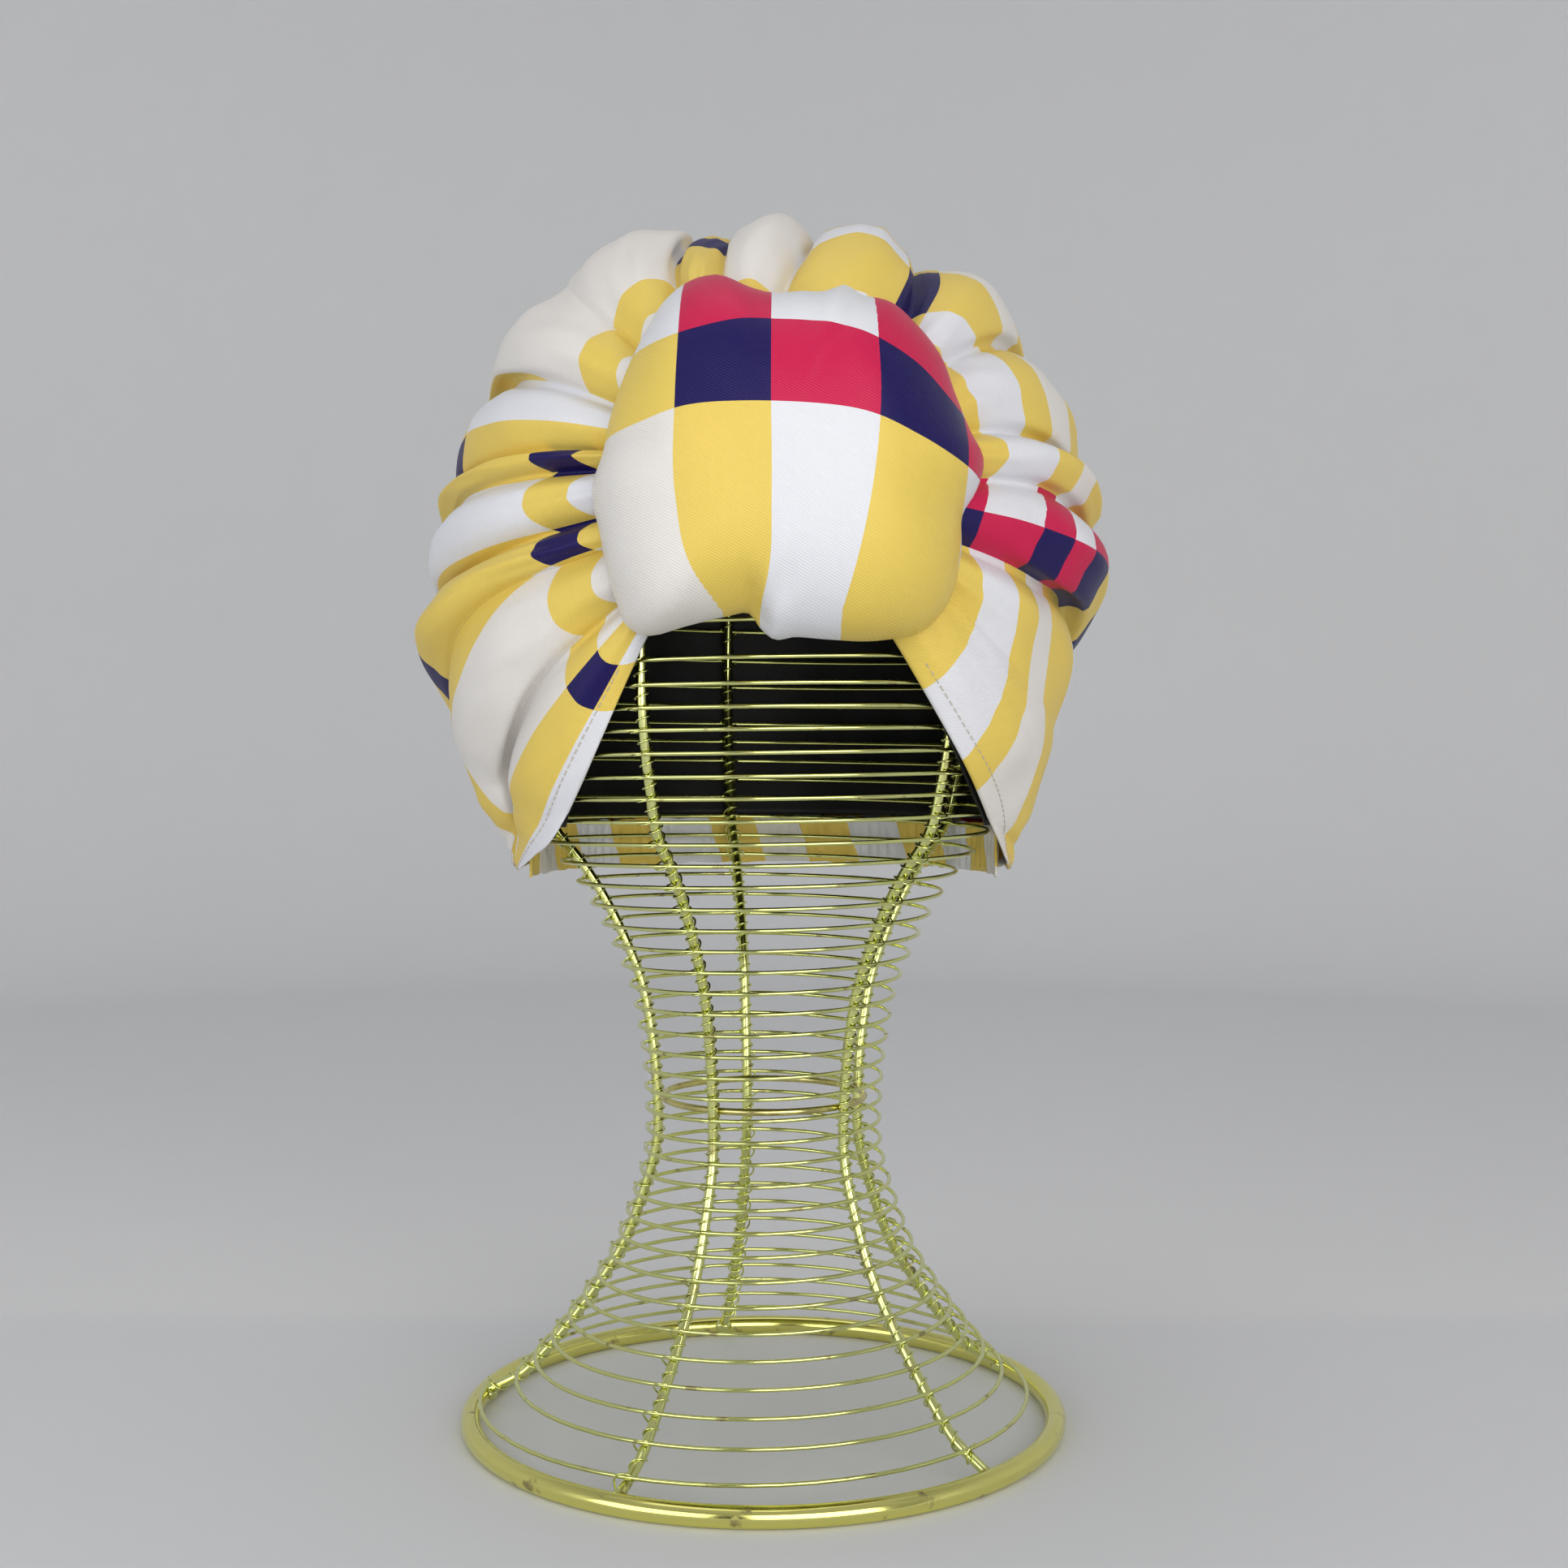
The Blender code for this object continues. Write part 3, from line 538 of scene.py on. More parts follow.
def buildCoil():
    turns, first = coilPlaces()
    steps = 60
    count = int((turns[-1] - first) * 15) / 15 * steps
    place = first + np.arange(int(count) + 1) / steps
    radius, z = np.interp(place, turns, coilLine[:, 0]), np.interp(place, turns, coilLine[:, 1])
    sway = 0.00012 * ripple(place * 0.7, place * 0.13, 5)  # hand wound, so never quite even
    path = np.column_stack([np.zeros(len(place)), -radius, z + sway])
    coil = runTree(
        addPath("coil", path), wound, Radius=stand["coilWire"] / 2, Sides=10, Material=gold,
        Step=2 * math.pi / steps, Start=math.radians(leftRib))
    finishPiece(coil, "gold_wire", *[f"coil_{i}" for i in range(1, 13)])
    return turns, first, count / steps


def buildTies(turns, first, total):  # thin wire wound round each rib and over the coil at every crossing
    steps, lead = 34, 0.15  # points for each turn of the coil, and the start before a crossing
    overCoil = stand["coilWire"] + stand["wireGap"] + 0.0002
    for i, turn in enumerate(ribTurns):
        offset = ((turn - leftRib) / 360.0) % 1.0
        crossings = int(total - offset)
        share = np.arange(crossings * steps + 1) / steps
        place = first + offset + share - lead
        share, place = share[place > 0.01], place[place > 0.01]
        ribRadius, ribZ = np.interp(place, turns, profile[:, 0]), np.interp(place, turns, profile[:, 1])
        slope = unit(np.column_stack([np.gradient(ribRadius), np.gradient(ribZ)]))
        t = math.radians(turn)
        radial = np.array([math.sin(t), -math.cos(t), 0.0])
        outward = slope[:, 1:] * radial - slope[:, :1] * np.array([0, 0, 1.0])
        sideways = np.tile([math.cos(t), math.sin(t), 0.0], (len(share), 1))
        near = np.abs((share - lead + 0.5) % 1.0 - 0.5)  # 0 where the coil crosses
        over = np.exp(-(near / 0.10) ** 2)
        rng, knots = np.random.default_rng(60 + i), np.arange(crossings + 2)
        jitter = np.interp(share, knots, rng.normal(0, 0.09, crossings + 2)) * np.sin(np.pi * near) ** 2
        phase = 2 * np.pi * (share - lead) * stand["tieTurns"] + jitter
        fly = np.interp(share, knots, rng.uniform(0.00002, 0.00022, crossings + 2))
        standOff = np.interp(share, knots, rng.uniform(0.6, 1.2, crossings + 2))
        reach = stand["ribWire"] / 2 + stand["tieWire"] / 2 + (1 - over) * fly
        reach = reach + over * overCoil * np.clip(np.cos(phase) + 0.3, 0, 1)
        reach = reach + stand["tieLoop"] * standOff * np.clip(-np.sin(phase), 0, 1) * np.exp(-(near / 0.15) ** 2)
        squash = (over * -0.9 * np.sin(2 * np.pi * (share - lead)))[:, None] * 0.0006
        points = around(turn, ribRadius, ribZ) + squash * (slope[:, :1] * radial)
        path = addPath(f"tieWire{i + 1}", points, phase=phase, outward=outward, sideways=sideways, reach=reach)
        finishPiece(runTree(path, bound, Radius=stand["tieWire"] / 2, Sides=6, Material=gold), "gold_wire")


buildStand()
coilTurns, coilFirst, coilTotal = buildCoil()
buildTies(coilTurns, coilFirst, coilTotal)
print("stand built")

# the drape: one row for each crease, from the left hem over the crown to the right hem
# knot, front, side: clock angles; nape: degrees from the back; wrap: 1 round the back, 0 at a hem;
# knotDepth, sideDepth, puff in mm; lean; tuck: above 0 the fold after it overhangs, below 0 the one before
creaseRows = [
    (-138, -144, -146, -100, 0.00, 5, 1, 1.0, 0.1, 0.0),
    (-129, -125, -131, -93, 0.40, 6, 9, 4.0, -0.4, 0.8),
    (-115, -105, -114, -80, 0.75, 5, 1, 7.0, -0.2, 0.0),
    (-103, -97, -102, -66, 0.92, 6, 8, 2.0, -0.3, -0.5),
    (-85, -81, -87, -52, 1.00, 6, 7, -1.5, -0.2, 0.6),
    (-78, -76, -83, -43, 1.00, 5, 8, -3.0, 0.0, 0.5),
    (-63, -56, -60, -29, 1.00, 7, 10, 2.0, -0.5, 1.0),
    (-46, -38, -39, -21, 1.00, 5, 0, 5.0, 0.2, 0.0),
    (-31, -19, -14, -13, 1.00, 7, 6, -2.5, 0.0, -0.9),
    (-22, -8, -4, -6, 1.00, 6, 6, 3.0, 0.0, 0.7),
    (-7, 8, 12, 3, 1.00, 7, 8, 4.5, 0.1, 0.5),
    (40, 33, 26, 13, 1.00, 6, 5, 5.5, 0.3, -0.6),
    (51, 49, 54, 27, 1.00, 5, 6, 2.0, 0.1, -0.6),
    (70, 70, 79, 42, 1.00, 6, 8, 3.5, 0.2, -0.7),
    (88, 81, 89, 54, 1.00, 6, 6, 6.0, 0.3, -0.6),
    (111, 100, 103, 68, 0.92, 6, 9, -2.0, 0.1, -1.0),
    (126, 119, 124, 86, 0.55, 3, 1, 1.5, 0.0, 0.0),
    (147, 138, 141, 100, 0.00, 5, 1, 0.0, 0.0, 0.0),
]
creaseNames = ("knot", "front", "side", "nape", "wrap", "knotDepth", "sideDepth", "puff", "lean", "tuck")
creases = [dict(zip(creaseNames, row)) for row in creaseRows]
loopSize = dict(x=0.0065, halfWidth=0.050, halfHeight=0.046, lift=0.010, front=0.1125)
loopOutline = [
    (-165, 0.90), (-150, 1.00), (-138, 1.18), (-125, 1.06), (-105, 0.97), (-98, 1.02), (-85, 0.98),
    (-65, 0.95), (-45, 1.10), (-28, 1.15), (-12, 0.95), (15, 0.97), (25, 1.05), (35, 1.04),
    (55, 1.05), (75, 0.99), (87, 1.03), (100, 0.96), (118, 1.03), (135, 1.20), (150, 1.11),
    (170, 0.98), (185, 1.00)]


def eggDistance(d):  # the wrap's outline from its centre
    depth = np.where(d[..., 1] < 0, wrap["front"], wrap["back"])
    rise = np.where(d[..., 2] > 0, wrap["rise"], wrap["nape"])
    return 1.0 / np.sqrt((d[..., 0] / wrap["halfWidth"]) ** 2 + (d[..., 1] / depth) ** 2 + (d[..., 2] / rise) ** 2)


def bisect(low, high, steps, isInside):  # where a line leaves a shape
    for _ in range(steps):
        middle = (low + high) / 2
        inside = isInside(middle)
        low, high = np.where(inside, middle, low), np.where(inside, high, middle)
    return high


def seatDistance(d, clearance):  # how far out the lining and the band reach
    def isInside(middle):
        p = wrapCentre + d * middle[..., None]
        inside = np.hypot(p[..., 0], p[..., 1]) < underRadius(p[..., 2] - clearance) + clearance
        return inside & (p[..., 2] < liningOutside[-1, 1] + clearance)

    return bisect(np.full(d.shape[:-1], 0.02), np.full(d.shape[:-1], 0.25), 18, isInside)


def outlineDistance(d):
    return np.maximum(eggDistance(d), seatDistance(d, wrap["clothGap"] + wrap["clothWall"]))


def clockDirection(clock, polar):
    c, p = math.radians(clock), math.radians(polar)
    return np.array([math.sin(p) * math.sin(c), -math.cos(p), math.sin(p) * math.cos(c)])


def loopReach(clock):
    clocks, reaches = [c for c, _ in loopOutline], [r for _, r in loopOutline]
    clocks = [c - 360 for c in clocks[-3:]] + clocks + [c + 360 for c in clocks[:3]]
    return smoothTable((clock + 170) % 360 - 170, clocks, reaches[-3:] + reaches + reaches[:3])


def loopPlace(clock, share):
    reach, a = loopReach(clock) * share, np.radians(clock)
    x = loopSize["x"] + loopSize["halfWidth"] * reach * np.sin(a)
    return x, wrapCentre[2] + loopSize["lift"] + loopSize["halfHeight"] * reach * np.cos(a)


def outlineY(x, z):  # front of the outline behind a point of the loop
    x, z = np.asarray(x, float), np.asarray(z, float)

    def isInside(middle):
        offset = np.stack([x, -middle, z - wrapCentre[2]], axis=-1)
        return np.linalg.norm(offset, axis=-1) < outlineDistance(unit(offset))

    return wrapCentre[1] - bisect(np.zeros(x.shape), np.full(x.shape, 0.3), 22, isInside)


def seamPoint(nape):
    r, a = bandOuter + wrap["clothGap"] + wrap["clothWall"] + wrap["facetGap"], np.radians(nape)
    return np.stack(np.broadcast_arrays(r * np.sin(a), r * np.cos(a), seamHeight), axis=-1)


def creasePath(row):  # directions from the wrap's centre: knot, front, side, back, seam
    x, z = loopPlace(row["knot"], wrap["knotShare"])
    knot = unit(np.array([x, outlineY(x, z), z]) - wrapCentre)
    w = row["wrap"]
    front, side = clockDirection(row["front"], 48 + 12 * w), clockDirection(row["side"], 64 + 26 * w)
    seam = unit(seamPoint(row["nape"]) - wrapCentre)
    push = 0.65 * max(math.cos(math.radians(row["nape"])), 0.0)
    back = unit(0.45 * side + 0.35 * seam + np.array([0.0, push, 0.0]))
    return np.array([knot, front, side, back, seam])


def alongPath(path, s):  # a smooth curve through a path's directions
    place = s * (len(path) - 1)
    i = np.minimum(place.astype(int), len(path) - 2)
    u = (place - i)[:, None]
    padded = np.vstack([2 * path[0] - path[1], path, 2 * path[-1] - path[-2]])
    p, a, b, n = (padded[i + k] for k in range(4))
    return unit(2 * a + (b - p) * u + (2 * p - 5 * a + 4 * b - n) * u ** 2 + (3 * a - p - 3 * b + n) * u ** 3)


paths = [creasePath(row) for row in creases]
drapeLook = dict(
    columns=20, rows=110, thickness=0.00055, overhang=0.15, ledge=0.11, unrest=0.9, wrinkles=0.35,
    pleats=0.3, gathers=0.7, hem=(0.012, 0.05, 0.12, 0.20))


def foldSurface(fold, t, s, sunk=0.0):  # a grid of points, t across the fold and s along it
    row, after, look = creases[fold], creases[fold + 1], drapeLook
    part, way = np.meshgrid(t, s, indexing="ij")
    grown = ease(way, 0.08, 0.42)
    under = max(-row["tuck"], 0.0), max(after["tuck"], 0.0)  # this fold lies under its neighbour there
    over = max(row["tuck"], 0.0), max(-after["tuck"], 0.0)

    def lip(d):
        return np.exp(-((d - 0.13) / 0.085) ** 2) * ease(d, 0.0, 0.1)

    lean = part + row["lean"] * part * (1 - part) * ease(way, 0.0, 0.4)
    lean = lean - look["overhang"] * grown * (over[0] * lip(part) - over[1] * lip(1 - part))
    a, b = alongPath(paths[fold], s), alongPath(paths[fold + 1], s)
    d = unit((1 - lean)[..., None] * a[None] + lean[..., None] * b[None])
    knotDepth, sideDepth = ((1 - part) * row[key] + part * after[key] for key in ("knotDepth", "sideDepth"))
    depth = (1 - grown) * knotDepth + grown * sideDepth
    lifted = np.clip((part - look["ledge"] * under[0]) / (1 - look["ledge"] * sum(under)), 0.0, 1.0)
    height = -depth + (row["puff"] * grown + depth) * np.sin(np.pi * lifted) ** 0.7
    # unrest over the fold, fine wrinkles, pleats at the knot and gathers at the nape
    pleat = np.cos(2 * np.pi * (2.6 * part + 0.25 * ripple(way * 2.0, part * 0.3, 71 + fold)))
    gather = np.cos(2 * np.pi * (3.4 * part + 0.2 * ripple(way * 3.0, part * 0.5, 101 + fold)))
    loose = look["unrest"] * grown * ripple(part * 1.1 + fold, way * 2.4, 11 + fold)
    loose = loose + look["wrinkles"] * ripple(part * 2.5 + fold, way * 5.0 - part, 41 + fold)
    loose = loose + look["pleats"] * pleat * np.exp(-((way - 0.10) / 0.10) ** 2)
    loose = loose + look["gathers"] * gather * ease(way, 0.70, 0.95)
    height = (height + loose * np.sin(np.pi * part) ** 0.5) * mm - 0.0006 * (1 - ease(way, 0.04, 0.14))
    seat = seatDistance(d, wrap["clothGap"] + wrap["clothWall"] + wrap["facetGap"]) - 0.0008
    distance = np.maximum(outlineDistance(d) + height, seat)
    seam = (1 - part)[..., None] * seamPoint(row["nape"]) + part[..., None] * seamPoint(after["nape"])
    closing = ease(way, 0.88, 1.0)
    target = np.maximum(seat, np.linalg.norm(seam - wrapCentre, axis=-1) - 0.0006)
    distance = (1 - closing) * distance + closing * target
    return wrapCentre + d * (distance - sunk)[..., None]


# how the print lies on each fold. along: stripes run with the fold, from one place on the chart to another
# across it, and the knot's row. across: stripes cross it, with their widths, and the rows that it spans
printLay = [
    dict(along=(2.5, 0.0), far=(2.5, 0.2), row=201, bow=5),
    dict(along=(0.02, 0.90), far=(0.2, 1.40), row=195, bow=5),
    dict(along=(0.88, 1.92), far=(1.40, 1.95), row=196, bow=5),
    dict(along=(1.94, 3.12), far=(1.75, 2.98), row=193, bow=9),
    dict(along=(3.05, 3.90), row=195, bow=6), dict(along=(3.50, 4.95), row=170),
    dict(along=(0.05, 0.60), far=(-0.08, 0.60), row=193, bow=4), dict(along=(0.60, 0.95), row=195, bow=4),
    dict(along=(1.05, 1.95), row=229, bow=3), dict(along=(0.05, 0.95), row=187, bow=3),
    dict(across=2.0, widths=((7, 36, 12, 26), (7, 34, 12, 26)), rows=(33, 83), bow=16),
    dict(across=3.0, widths=((12, 12, 40, 16), (17, 20, 16, 20)), rows=(81, 125)),
    dict(across=3.0, widths=((19, 22, 14, 20), (19, 20, 16, 18)), rows=(8, 60), bow=-3),
    dict(across=3.0, widths=((19, 22, 16, 14), (17, 22, 14, 12)), rows=(8, 60), bow=4),
    dict(across=1.0, widths=((17, 24, 12, 12), (15, 21, 14, 12)), rows=(302, 262), bow=-3),
    dict(across=3.0, widths=((15, 14, 12, 12), (20, 17, 12, 12)), rows=(8, 40)),
    dict(across=3.0, widths=((20, 17, 12, 12), (24, 25, 13, 40)), rows=(40, 70)),
]


def printPlace(fold, t, arc):  # the place on the chart of each point, with t across the fold
    lay = printLay[fold]
    part = np.broadcast_to(np.asarray(t)[:, None], arc.shape)
    shifted = arc - lay.get("bow", 0) * (1 - (2 * np.clip(part, 0, 1) - 1) ** 2)
    if "along" in lay:
        spread = ease(arc, 15, 85)
        start, end = (a * (1 - spread) + b * spread for a, b in zip(lay["along"], lay.get("far", lay["along"])))
        return start + (end - start) * part, lay["row"] - shifted
    u = np.zeros(arc.shape)
    for i, share in enumerate(part[:, 0]):
        widths = (1 - share) * np.array(lay["widths"][0]) + share * np.array(lay["widths"][1])
        marks = np.concatenate([[-40.0, 0.0], np.cumsum(widths)])
        marks = np.concatenate([marks, marks[-1] + 24 * np.arange(1, 16)])
        u[i] = np.interp(shifted[i], marks, np.arange(len(marks)) - 1.0)
    start, end = lay["rows"]
    return lay["across"] + u, start + (end - start) * part


def lengths(grid, axis):  # mm along a grid's lines from its first point
    steps = np.cumsum(np.linalg.norm(np.diff(grid, axis=axis), axis=-1), axis=axis)
    return np.pad(steps, [(1 - axis, 0), (axis, 0)]) / mm


def pairs(u, v):
    return np.stack([u, v], axis=-1).reshape(-1, 2)


def buildDrape():
    rows, last, hem = drapeLook["rows"], len(creases) - 2, np.array(drapeLook["hem"])
    s, even = np.linspace(0, 1, rows), np.linspace(0, 1, drapeLook["columns"] + 1)
    t = 0.45 * (0.5 - 0.5 * np.cos(np.pi * even)) + 0.55 * even  # closer columns near the creases
    grids, points, faces, printUv, weaveUv, index, total = [], [], [], [], [], None, 0
    for fold in range(last + 1):
        grid, tFold = foldSurface(fold, t, s), t
        if fold in (0, last):  # the cloth is turned under at the hem
            edge = float(fold == last)
            under = foldSurface(fold, np.abs(edge - hem), s, 0.0016)
            under[0] = foldSurface(fold, np.array([edge]), s, 0.0010)[0]
            turned = np.array([0.004, *hem[1:]])
            if fold == 0:
                grid, tFold = np.concatenate([under[::-1], grid]), np.concatenate([-turned[::-1], t])
            else:
                grid, tFold = np.concatenate([grid, under]), np.concatenate([t, 1 + turned])
        grids.append(grid)
        skip = min(fold, 1)  # the first column is the last one of the fold before
        own = total + np.arange((len(grid) - skip) * rows).reshape(-1, rows)
        total += own.size
        index = np.vstack([index[-1:], own]) if skip else own
        points.append(grid[skip:].reshape(-1, 3))
        along, across = lengths(grid, 1), lengths(grid, 0) + 40 * fold
        corners = np.array(gridFaces(len(grid), rows))
        faces.extend(index.ravel()[corners].tolist())
        printUv.append(pairs(*printPlace(fold, tFold, along))[corners.ravel()])
        weaveUv.append(pairs(along, across)[corners.ravel()])
    cloth = clothMaterial("drapeTwill", 1.05)
    return addSheet(
        "crownDrape", np.vstack(points), faces, cloth, wrapCentre, drapeLook["thickness"],
        np.vstack(printUv), np.vstack(weaveUv)), grids


drape, drapeGrids = buildDrape()
finishPiece(drape, "printed_twill", "crown_drape")
print("drape made")

# the front loop: a puffed panel with its edge rolled under
loopLook = dict(clocks=160, rows=46, reach=1.06, raised=0.0032, thickness=0.0006, round=3.0, power=0.52)
loopEdge = [  # outline of the panel seen from the front, mm from its centre, clockwise from the top
    (-4, 43), (4, 43.5), (11, 44), (15.5, 46), (19, 43.5), (27, 41.5), (33, 36), (39, 28), (42.5, 18), (46.5, 8),
    (49.5, 2), (47.5, -6), (44, -12), (43.5, -22), (40.5, -34), (34, -41), (24, -43.5), (10, -43.5), (2, -43),
    (-3, -43.5), (-6, -41), (-8.5, -37.5), (-14, -38), (-25, -40.5), (-34, -42.5), (-38, -41), (-42, -33),
    (-45.5, -18), (-47.5, -6), (-45, 2), (-43.5, 10), (-39, 24), (-35, 33), (-30, 42), (-24, 47),
    (-18, 48.5), (-9, 44.5)]
loopPinches = [  # in mm: where a crease starts and ends, its depth and its width
    (-6, -41, -12, -26, 4.5, 2.6), (-5, -41, 3, -24, 2.2, 2.4), (-7, -41, -22, -30, 1.6, 2.6),
    (16.5, 46, 13, 34, 1.8, 2.0), (20, 44, 24, 33, 1.3, 2.0), (-20, 48, -16, 36, 1.0, 2.4),
    (-44, 2, -30, 4, 0.9, 2.6), (46, -8, 33, -4, 1.1, 2.6), (44, -14, 31, -16, 0.8, 2.6)]
columnLines = [  # height in mm from the centre, then x of the four lines between the print's columns
    (48, -26.5, -4, 23, 40), (30, -27, -4, 23.2, 43), (12, -27.5, -4, 23.5, 46), (-12, -27.3, -3.8, 21, 46),
    (-30, -23, -4.5, 17, 45), (-40, -15.5, -7, 14, 46)]
rowLines = [  # x in mm from the centre, then z of the two lines between the print's rows
    (-48, 26, 4.5), (-36, 28, 7.2), (-27, 29.5, 9.5), (-4, 32.5, 10.5), (23, 28, 7.5), (34, 22, 3),
    (45, 13, -2), (50, 10, -4)]


def buildLoop():
    edge = np.array(loopEdge, float) * loopLook["reach"]
    clocks = np.degrees(np.arctan2(edge[:, 0], edge[:, 1]))
    order = np.argsort(clocks)
    clocks, reach = clocks[order], np.hypot(*edge.T)[order] * mm
    n, rows = loopLook["clocks"], loopLook["rows"]
    clock = np.linspace(-180, 180, n, endpoint=False)
    edgeReach = smoothTable(
        clock, np.concatenate([clocks - 360, clocks, clocks + 360]), np.concatenate([reach] * 3))
    inner = np.sin(np.linspace(0.02, 1, rows) * np.pi / 2) ** 0.9  # rows close up towards the rim
    share = np.concatenate([inner, [0.995, 0.97, 0.93, 0.88]])[None, :]  # then the rim turns under
    middle = wrapCentre[2] + loopSize["lift"] + loopLook["raised"]
    sides, up = np.sin(np.radians(clock)) * edgeReach, np.cos(np.radians(clock)) * edgeReach
    x, z = loopSize["x"] + sides[:, None] * share, middle + up[:, None] * share
    rim = (outlineY(loopSize["x"] + sides, middle + up) - wrap["clothGap"])[:, None]
    bulge = (1 - np.minimum(share, 1.0) ** loopLook["round"]) ** loopLook["power"]
    bulge[:, rows:] = 0.0
    y = rim - (loopSize["front"] + rim) * bulge
    px, pz = (x - loopSize["x"]) / mm, (z - middle) / mm
    y = y + mm * 0.7 * ripple(px / 40, pz / 40, 7) * ease(1 - np.minimum(share, 1), 0.0, 0.12)
    for cx, cz, tx, tz, depth, width in loopPinches:
        ax, az = tx - cx, tz - cz
        length = math.hypot(ax, az)
        run = ((px - cx) * ax + (pz - cz) * az) / length ** 2
        off = ((px - cx) * az - (pz - cz) * ax) / length
        valley = np.exp(-(off / (width * (0.6 + np.clip(run, 0, 1)))) ** 2)
        y = y + mm * depth * valley * (1 - ease(run, 0.1, 1.0)) * ease(run, -0.35, 0.0)
    y[:, rows:] = rim + np.array([0.0012, 0.0024, 0.0030, 0.0030])
    y = np.minimum(y, rim + 0.003)
    # the print: five columns between and beside four lines, two rows of squares above the long row
    columns, rowTable = np.array(columnLines)[::-1], np.array(rowLines)
    lines = [smoothTable(np.clip(pz, -40, 48), columns[:, 0], columns[:, k]) for k in range(1, 5)]
    marks = [lines[0] - 26] + lines + [lines[3] + 26]
    u = sum(np.clip((px - a) / (b - a), 0, 1) for a, b in zip(marks, marks[1:]))
    high, low = (smoothTable(np.clip(px, -48, 50), rowTable[:, 0], rowTable[:, k]) for k in (1, 2))
    v = 259 + 22 * (pz - low) / (high - low)
    count = share.size
    faces = gridFaces(n, count, True) + [[i * count for i in range(n)][::-1]]
    corners = np.concatenate([np.ravel(faces[:-1]), faces[-1]])
    return addSheet(
        "frontLoop", np.stack([x, y, z], axis=-1), faces, clothMaterial("loopTwill", 0.5), wrapCentre,
        loopLook["thickness"], pairs(u, v)[corners], pairs(px, pz)[corners])


loop = buildLoop()
finishPiece(loop, "printed_twill", "front_loop")
print("front loop made")


# the nape band and the lining
bandLook = dict(thickness=0.0008, short=4.5, stitchInset=0.0022)
liningLook = dict(thickness=0.0004, rows=90, columns=240)


def buildBand():
    n, rows = 420, 13
    u, v = (grid.ravel() for grid in np.meshgrid(np.linspace(-1, 1, n), np.linspace(0, 1, rows), indexing="ij"))
    ruffle = ripple(u * 26, v * 0.7, 31, 9, 0.5, 1.6) * np.sin(np.pi * v) ** 0.6
    r = bandInner + 0.0006 + 0.0005 * ruffle
    z = bandTop - wrap["bandHeight"] + wrap["bandHeight"] * v + 0.0004 * ripple(u * 12, v * 0, 33)
    points = around(180 - (wrap["bandReach"] - bandLook["short"]) * u, r, z)  # its ends go under the hems
    faces = gridFaces(n, rows)
    corners = np.ravel(faces)
    tilt = 6.9 * u + 0.3 * v + 0.12 * np.sin(9 * u)
    return addSheet(
        "napeBand", points, faces, clothMaterial("bandTwill", 0.9), np.array([0, 0, bandTop]),
        bandLook["thickness"], pairs(tilt, 0 * tilt + 30.0)[corners], pairs(u * 125, v * 15)[corners])


def hemTurns(grid, column):  # the turn from the front at which a hem lies, by height
    line = grid[column][np.argsort(grid[column][:, 2])]
    return line[:, 2], np.degrees(np.arctan2(line[:, 0], -line[:, 1]))


def buildLining():
    rows, n = liningLook["rows"], liningLook["columns"]
    line = liningInside[int(np.searchsorted(liningInside[:, 1], bandTop + 0.0004)):]
    place = np.concatenate([[0.0], np.cumsum(np.hypot(*np.diff(line, axis=0).T))])
    even = np.linspace(0, place[-1], rows)
    radius, z = np.interp(even, place, line[:, 0]), np.interp(even, place, line[:, 1])
    openness = 1 - ease(z, 0.236, 0.250)  # the cap's front edges lie behind the hems and meet above them
    left = openness * np.interp(z, *hemTurns(drapeGrids[0], len(drapeLook["hem"])))
    right = openness * np.interp(z, *hemTurns(drapeGrids[-1], drapeLook["columns"]))
    share = np.linspace(0, 1, n)[:, None]
    turns = right + 1.5 * openness + share * (360 - right + left - 3.0 * openness)
    crease = ripple(turns / 30, np.broadcast_to(even * 18, turns.shape), 51) * np.sin(np.pi * share) ** 0.3
    points = around(turns, radius + 0.0005 + 0.0003 * crease, np.broadcast_to(z, turns.shape))
    return addSheet(
        "liningCap", points, gridFaces(n, rows), satin, np.array([0, 0, 0.24]), liningLook["thickness"])


band = buildBand()
finishPiece(band, "printed_twill", "nape_band")
lining = buildLining()
finishPiece(lining, "black_lining", "lining")
print("band and lining made")


def buildStitches():  # a row along each hem and two along the band
    rows, s = [], np.linspace(0.12, 0.96, 160)
    for name, fold, share in (("stitchLeft", 0, 0.16), ("stitchRight", len(creases) - 2, 0.84)):
        line = foldSurface(fold, np.array([share]), s)[0]
        rows.append((name, wrapCentre + (line - wrapCentre) + 0.00012 * unit(line - wrapCentre)))
    turns, inset = np.linspace(-94, 94, 400), bandLook["stitchInset"]
    for name, z in (("stitchBandLow", bandTop - wrap["bandHeight"] + inset), ("stitchBandHigh", bandTop - inset)):
        rows.append((name, around(180 - turns, bandInner + 0.0003, z)))
    return [finishPiece(runTree(
        addPath(name, line), stitched, Radius=0.00016, Sides=6, Material=thread,
        Step=0.0026, Length=0.0017), "printed_twill") for name, line in rows]


stitches = buildStitches()

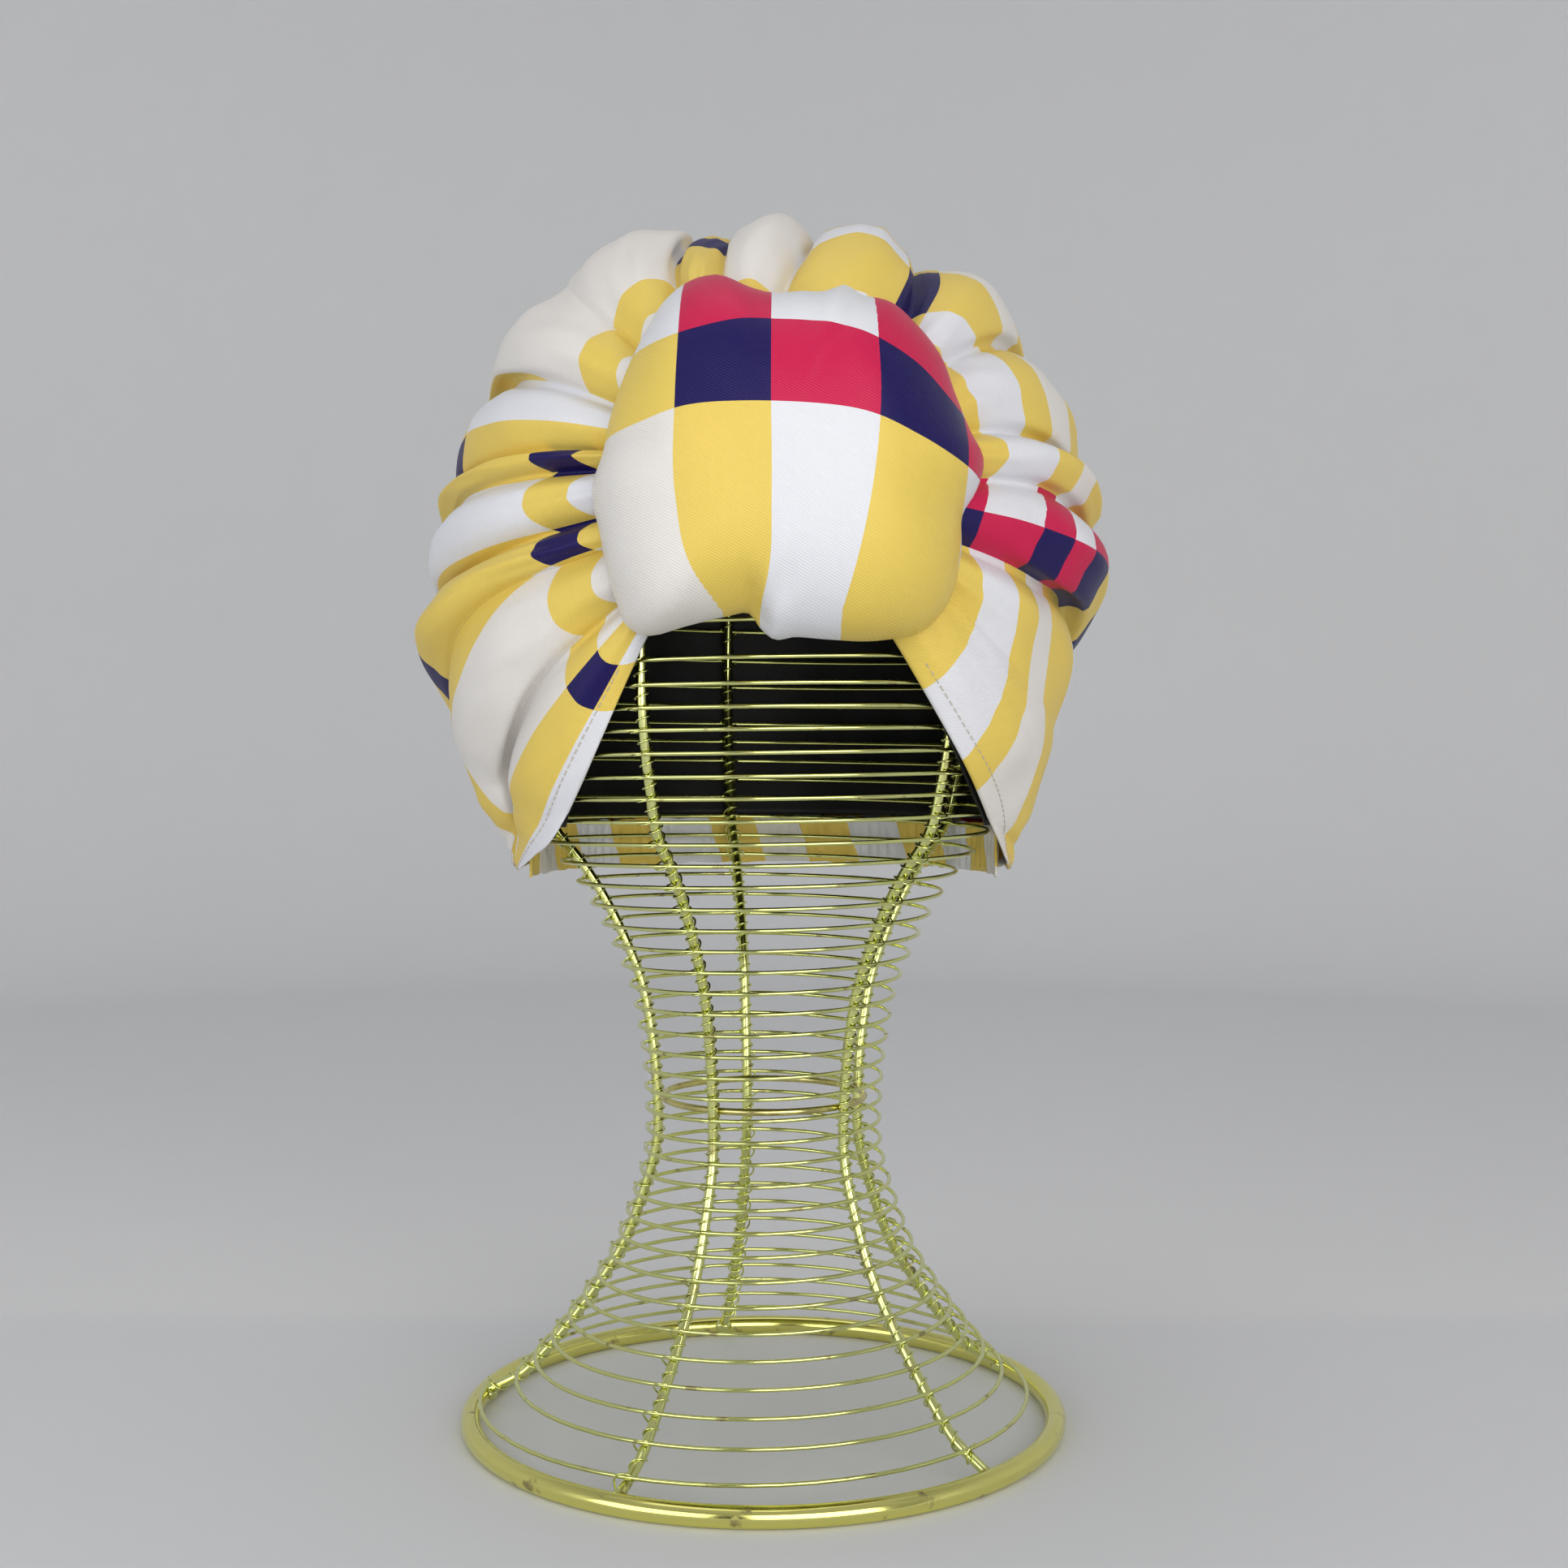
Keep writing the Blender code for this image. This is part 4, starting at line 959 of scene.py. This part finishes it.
# studio: pale table and backdrop, soft lights, camera at the photo's angle
studio = dict(
    table=(0.700, 0.707, 0.722, 1), wall=(0.745, 0.748, 0.750, 1), tableEnd=0.10, wallRadius=1.45, wallHeight=2.4,
    bend=0.35, around=0.46, sight=(0.505, 0.503, 0.49, 1), lamps=[
        ("keyLight", (0.50, -1.45, 0.42), 1.3, 17.8, (1.0, 0.985, 0.96)),
        ("fillLight", (-0.95, -1.15, 0.32), 1.2, 10.0, (0.95, 0.97, 1.0)),
        ("topLight", (-0.1, 0.05, 1.6), 1.0, 2.2, (1.0, 0.99, 0.98))])
lens = dict(length=46.28, sensor=36.0, place=(0.0061, -0.6046, 0.2008), tilt=89.62, shift=-0.0139)


def studioMaterial():
    material, tree, shader = newMaterial("palePaper")
    place = put(tree, "ShaderNodeTexCoord").outputs["Object"]
    part = put(tree, "ShaderNodeSeparateXYZ", [(0, place)])
    end = put(tree, "ShaderNodeMapRange", [
        ("Value", part.outputs[1]), ("From Min", studio["tableEnd"] - 0.012),
        ("From Max", studio["tableEnd"] + 0.024)], interpolation_type="SMOOTHSTEP")
    noise = put(tree, "ShaderNodeTexNoise", [("Vector", place), ("Scale", 25.0), ("Detail", 4.0)])
    paper = blendColour(tree, end.outputs[0], studio["table"], studio["wall"])
    grain = blendColour(tree, math2(tree, "MULTIPLY", noise.outputs[0], 0.05), paper, (0.4, 0.4, 0.42, 1))
    feed(tree, shader, [("Base Color", grain), ("Roughness", 0.8)])
    return material


def buildPaper():  # the paper rises behind and lies flat in front
    radius, bend, height = studio["wallRadius"], studio["bend"], studio["wallHeight"]
    start, curve = [(0.0, 0.0), (0.4, 0.0), (0.8, 0.0)], np.linspace(0, np.pi / 2, 24)
    bent = [(radius - bend + bend * math.sin(a), bend - bend * math.cos(a)) for a in curve]
    up = start + bent + [(radius, height)]
    flat = start + [(radius - bend + bend * a, 0.0) for a in curve] + [(radius + height, 0.0)]
    turns, points = np.arange(0, 360, 4), []  # 0 is straight behind the stand
    for turn in turns:
        raised = 1 - ease(abs((turn + 180) % 360 - 180), 105, 135)
        r, z = (raised * np.array(up) + (1 - raised) * np.array(flat)).T
        points.append(around(180 - turn, r, z))
    return weldPoles(addMesh("paper", points, gridFaces(len(turns), len(up), True), studioMaterial()))


def buildLamp(name, place, size, power, colour):
    data = bpy.data.lights.new(name, "AREA")
    data.shape, data.size, data.energy, data.color = "SQUARE", size, power, colour
    lamp = bpy.data.objects.new(name, data)
    aim = np.array([0, 0, 0.2]) - np.array(place)
    lamp.location = place
    lamp.rotation_euler = (math.atan2(math.hypot(aim[0], aim[1]), -aim[2]), 0, math.atan2(-aim[0], aim[1]))
    bpy.context.collection.objects.link(lamp)
    return lamp


def buildWorld():
    world = bpy.data.worlds.new("studioWorld")
    bpy.context.scene.world = world
    world.use_nodes = True
    tree = world.node_tree
    part = put(tree, "ShaderNodeSeparateXYZ", [(0, put(tree, "ShaderNodeTexCoord").outputs["Generated"])])
    front = put(tree, "ShaderNodeMapRange", [("Value", part.outputs[1]), ("From Min", -0.95), ("From Max", -0.35),
                                             ("To Min", 0.05), ("To Max", 1.0)])  # the dark room behind the camera
    high = put(tree, "ShaderNodeMapRange", [("Value", part.outputs[2]), ("From Min", 0.25), ("From Max", 0.8)])
    lit = math2(tree, "MULTIPLY", math2(tree, "MAXIMUM", front.outputs[0], high.outputs[0]), studio["around"])
    room = put(tree, "ShaderNodeBackground", [("Color", (0.95, 0.96, 1.0, 1)), ("Strength", lit)])
    seen = put(tree, "ShaderNodeBackground", [("Color", studio["sight"]), ("Strength", 1.0)])
    both = put(tree, "ShaderNodeMixShader", [
        (0, put(tree, "ShaderNodeLightPath").outputs["Is Camera Ray"]),
        (1, room.outputs[0]), (2, seen.outputs[0])])
    feed(tree, tree.nodes["World Output"], [(0, both.outputs[0])])


def buildCamera():
    data = bpy.data.cameras.new("photoCamera")
    data.lens, data.sensor_width, data.shift_y = lens["length"], lens["sensor"], lens["shift"]
    camera = bpy.data.objects.new("photoCamera", data)
    camera.location, camera.rotation_euler = lens["place"], (math.radians(lens["tilt"]), 0, 0)
    bpy.context.collection.objects.link(camera)
    bpy.context.scene.camera = camera


buildPaper()
[buildLamp(*lamp) for lamp in studio["lamps"]]
buildWorld()
buildCamera()
bpy.context.scene.view_settings.view_transform = "Standard"  # the print's own inks
print("studio built")
bpy.context.view_layer.update()
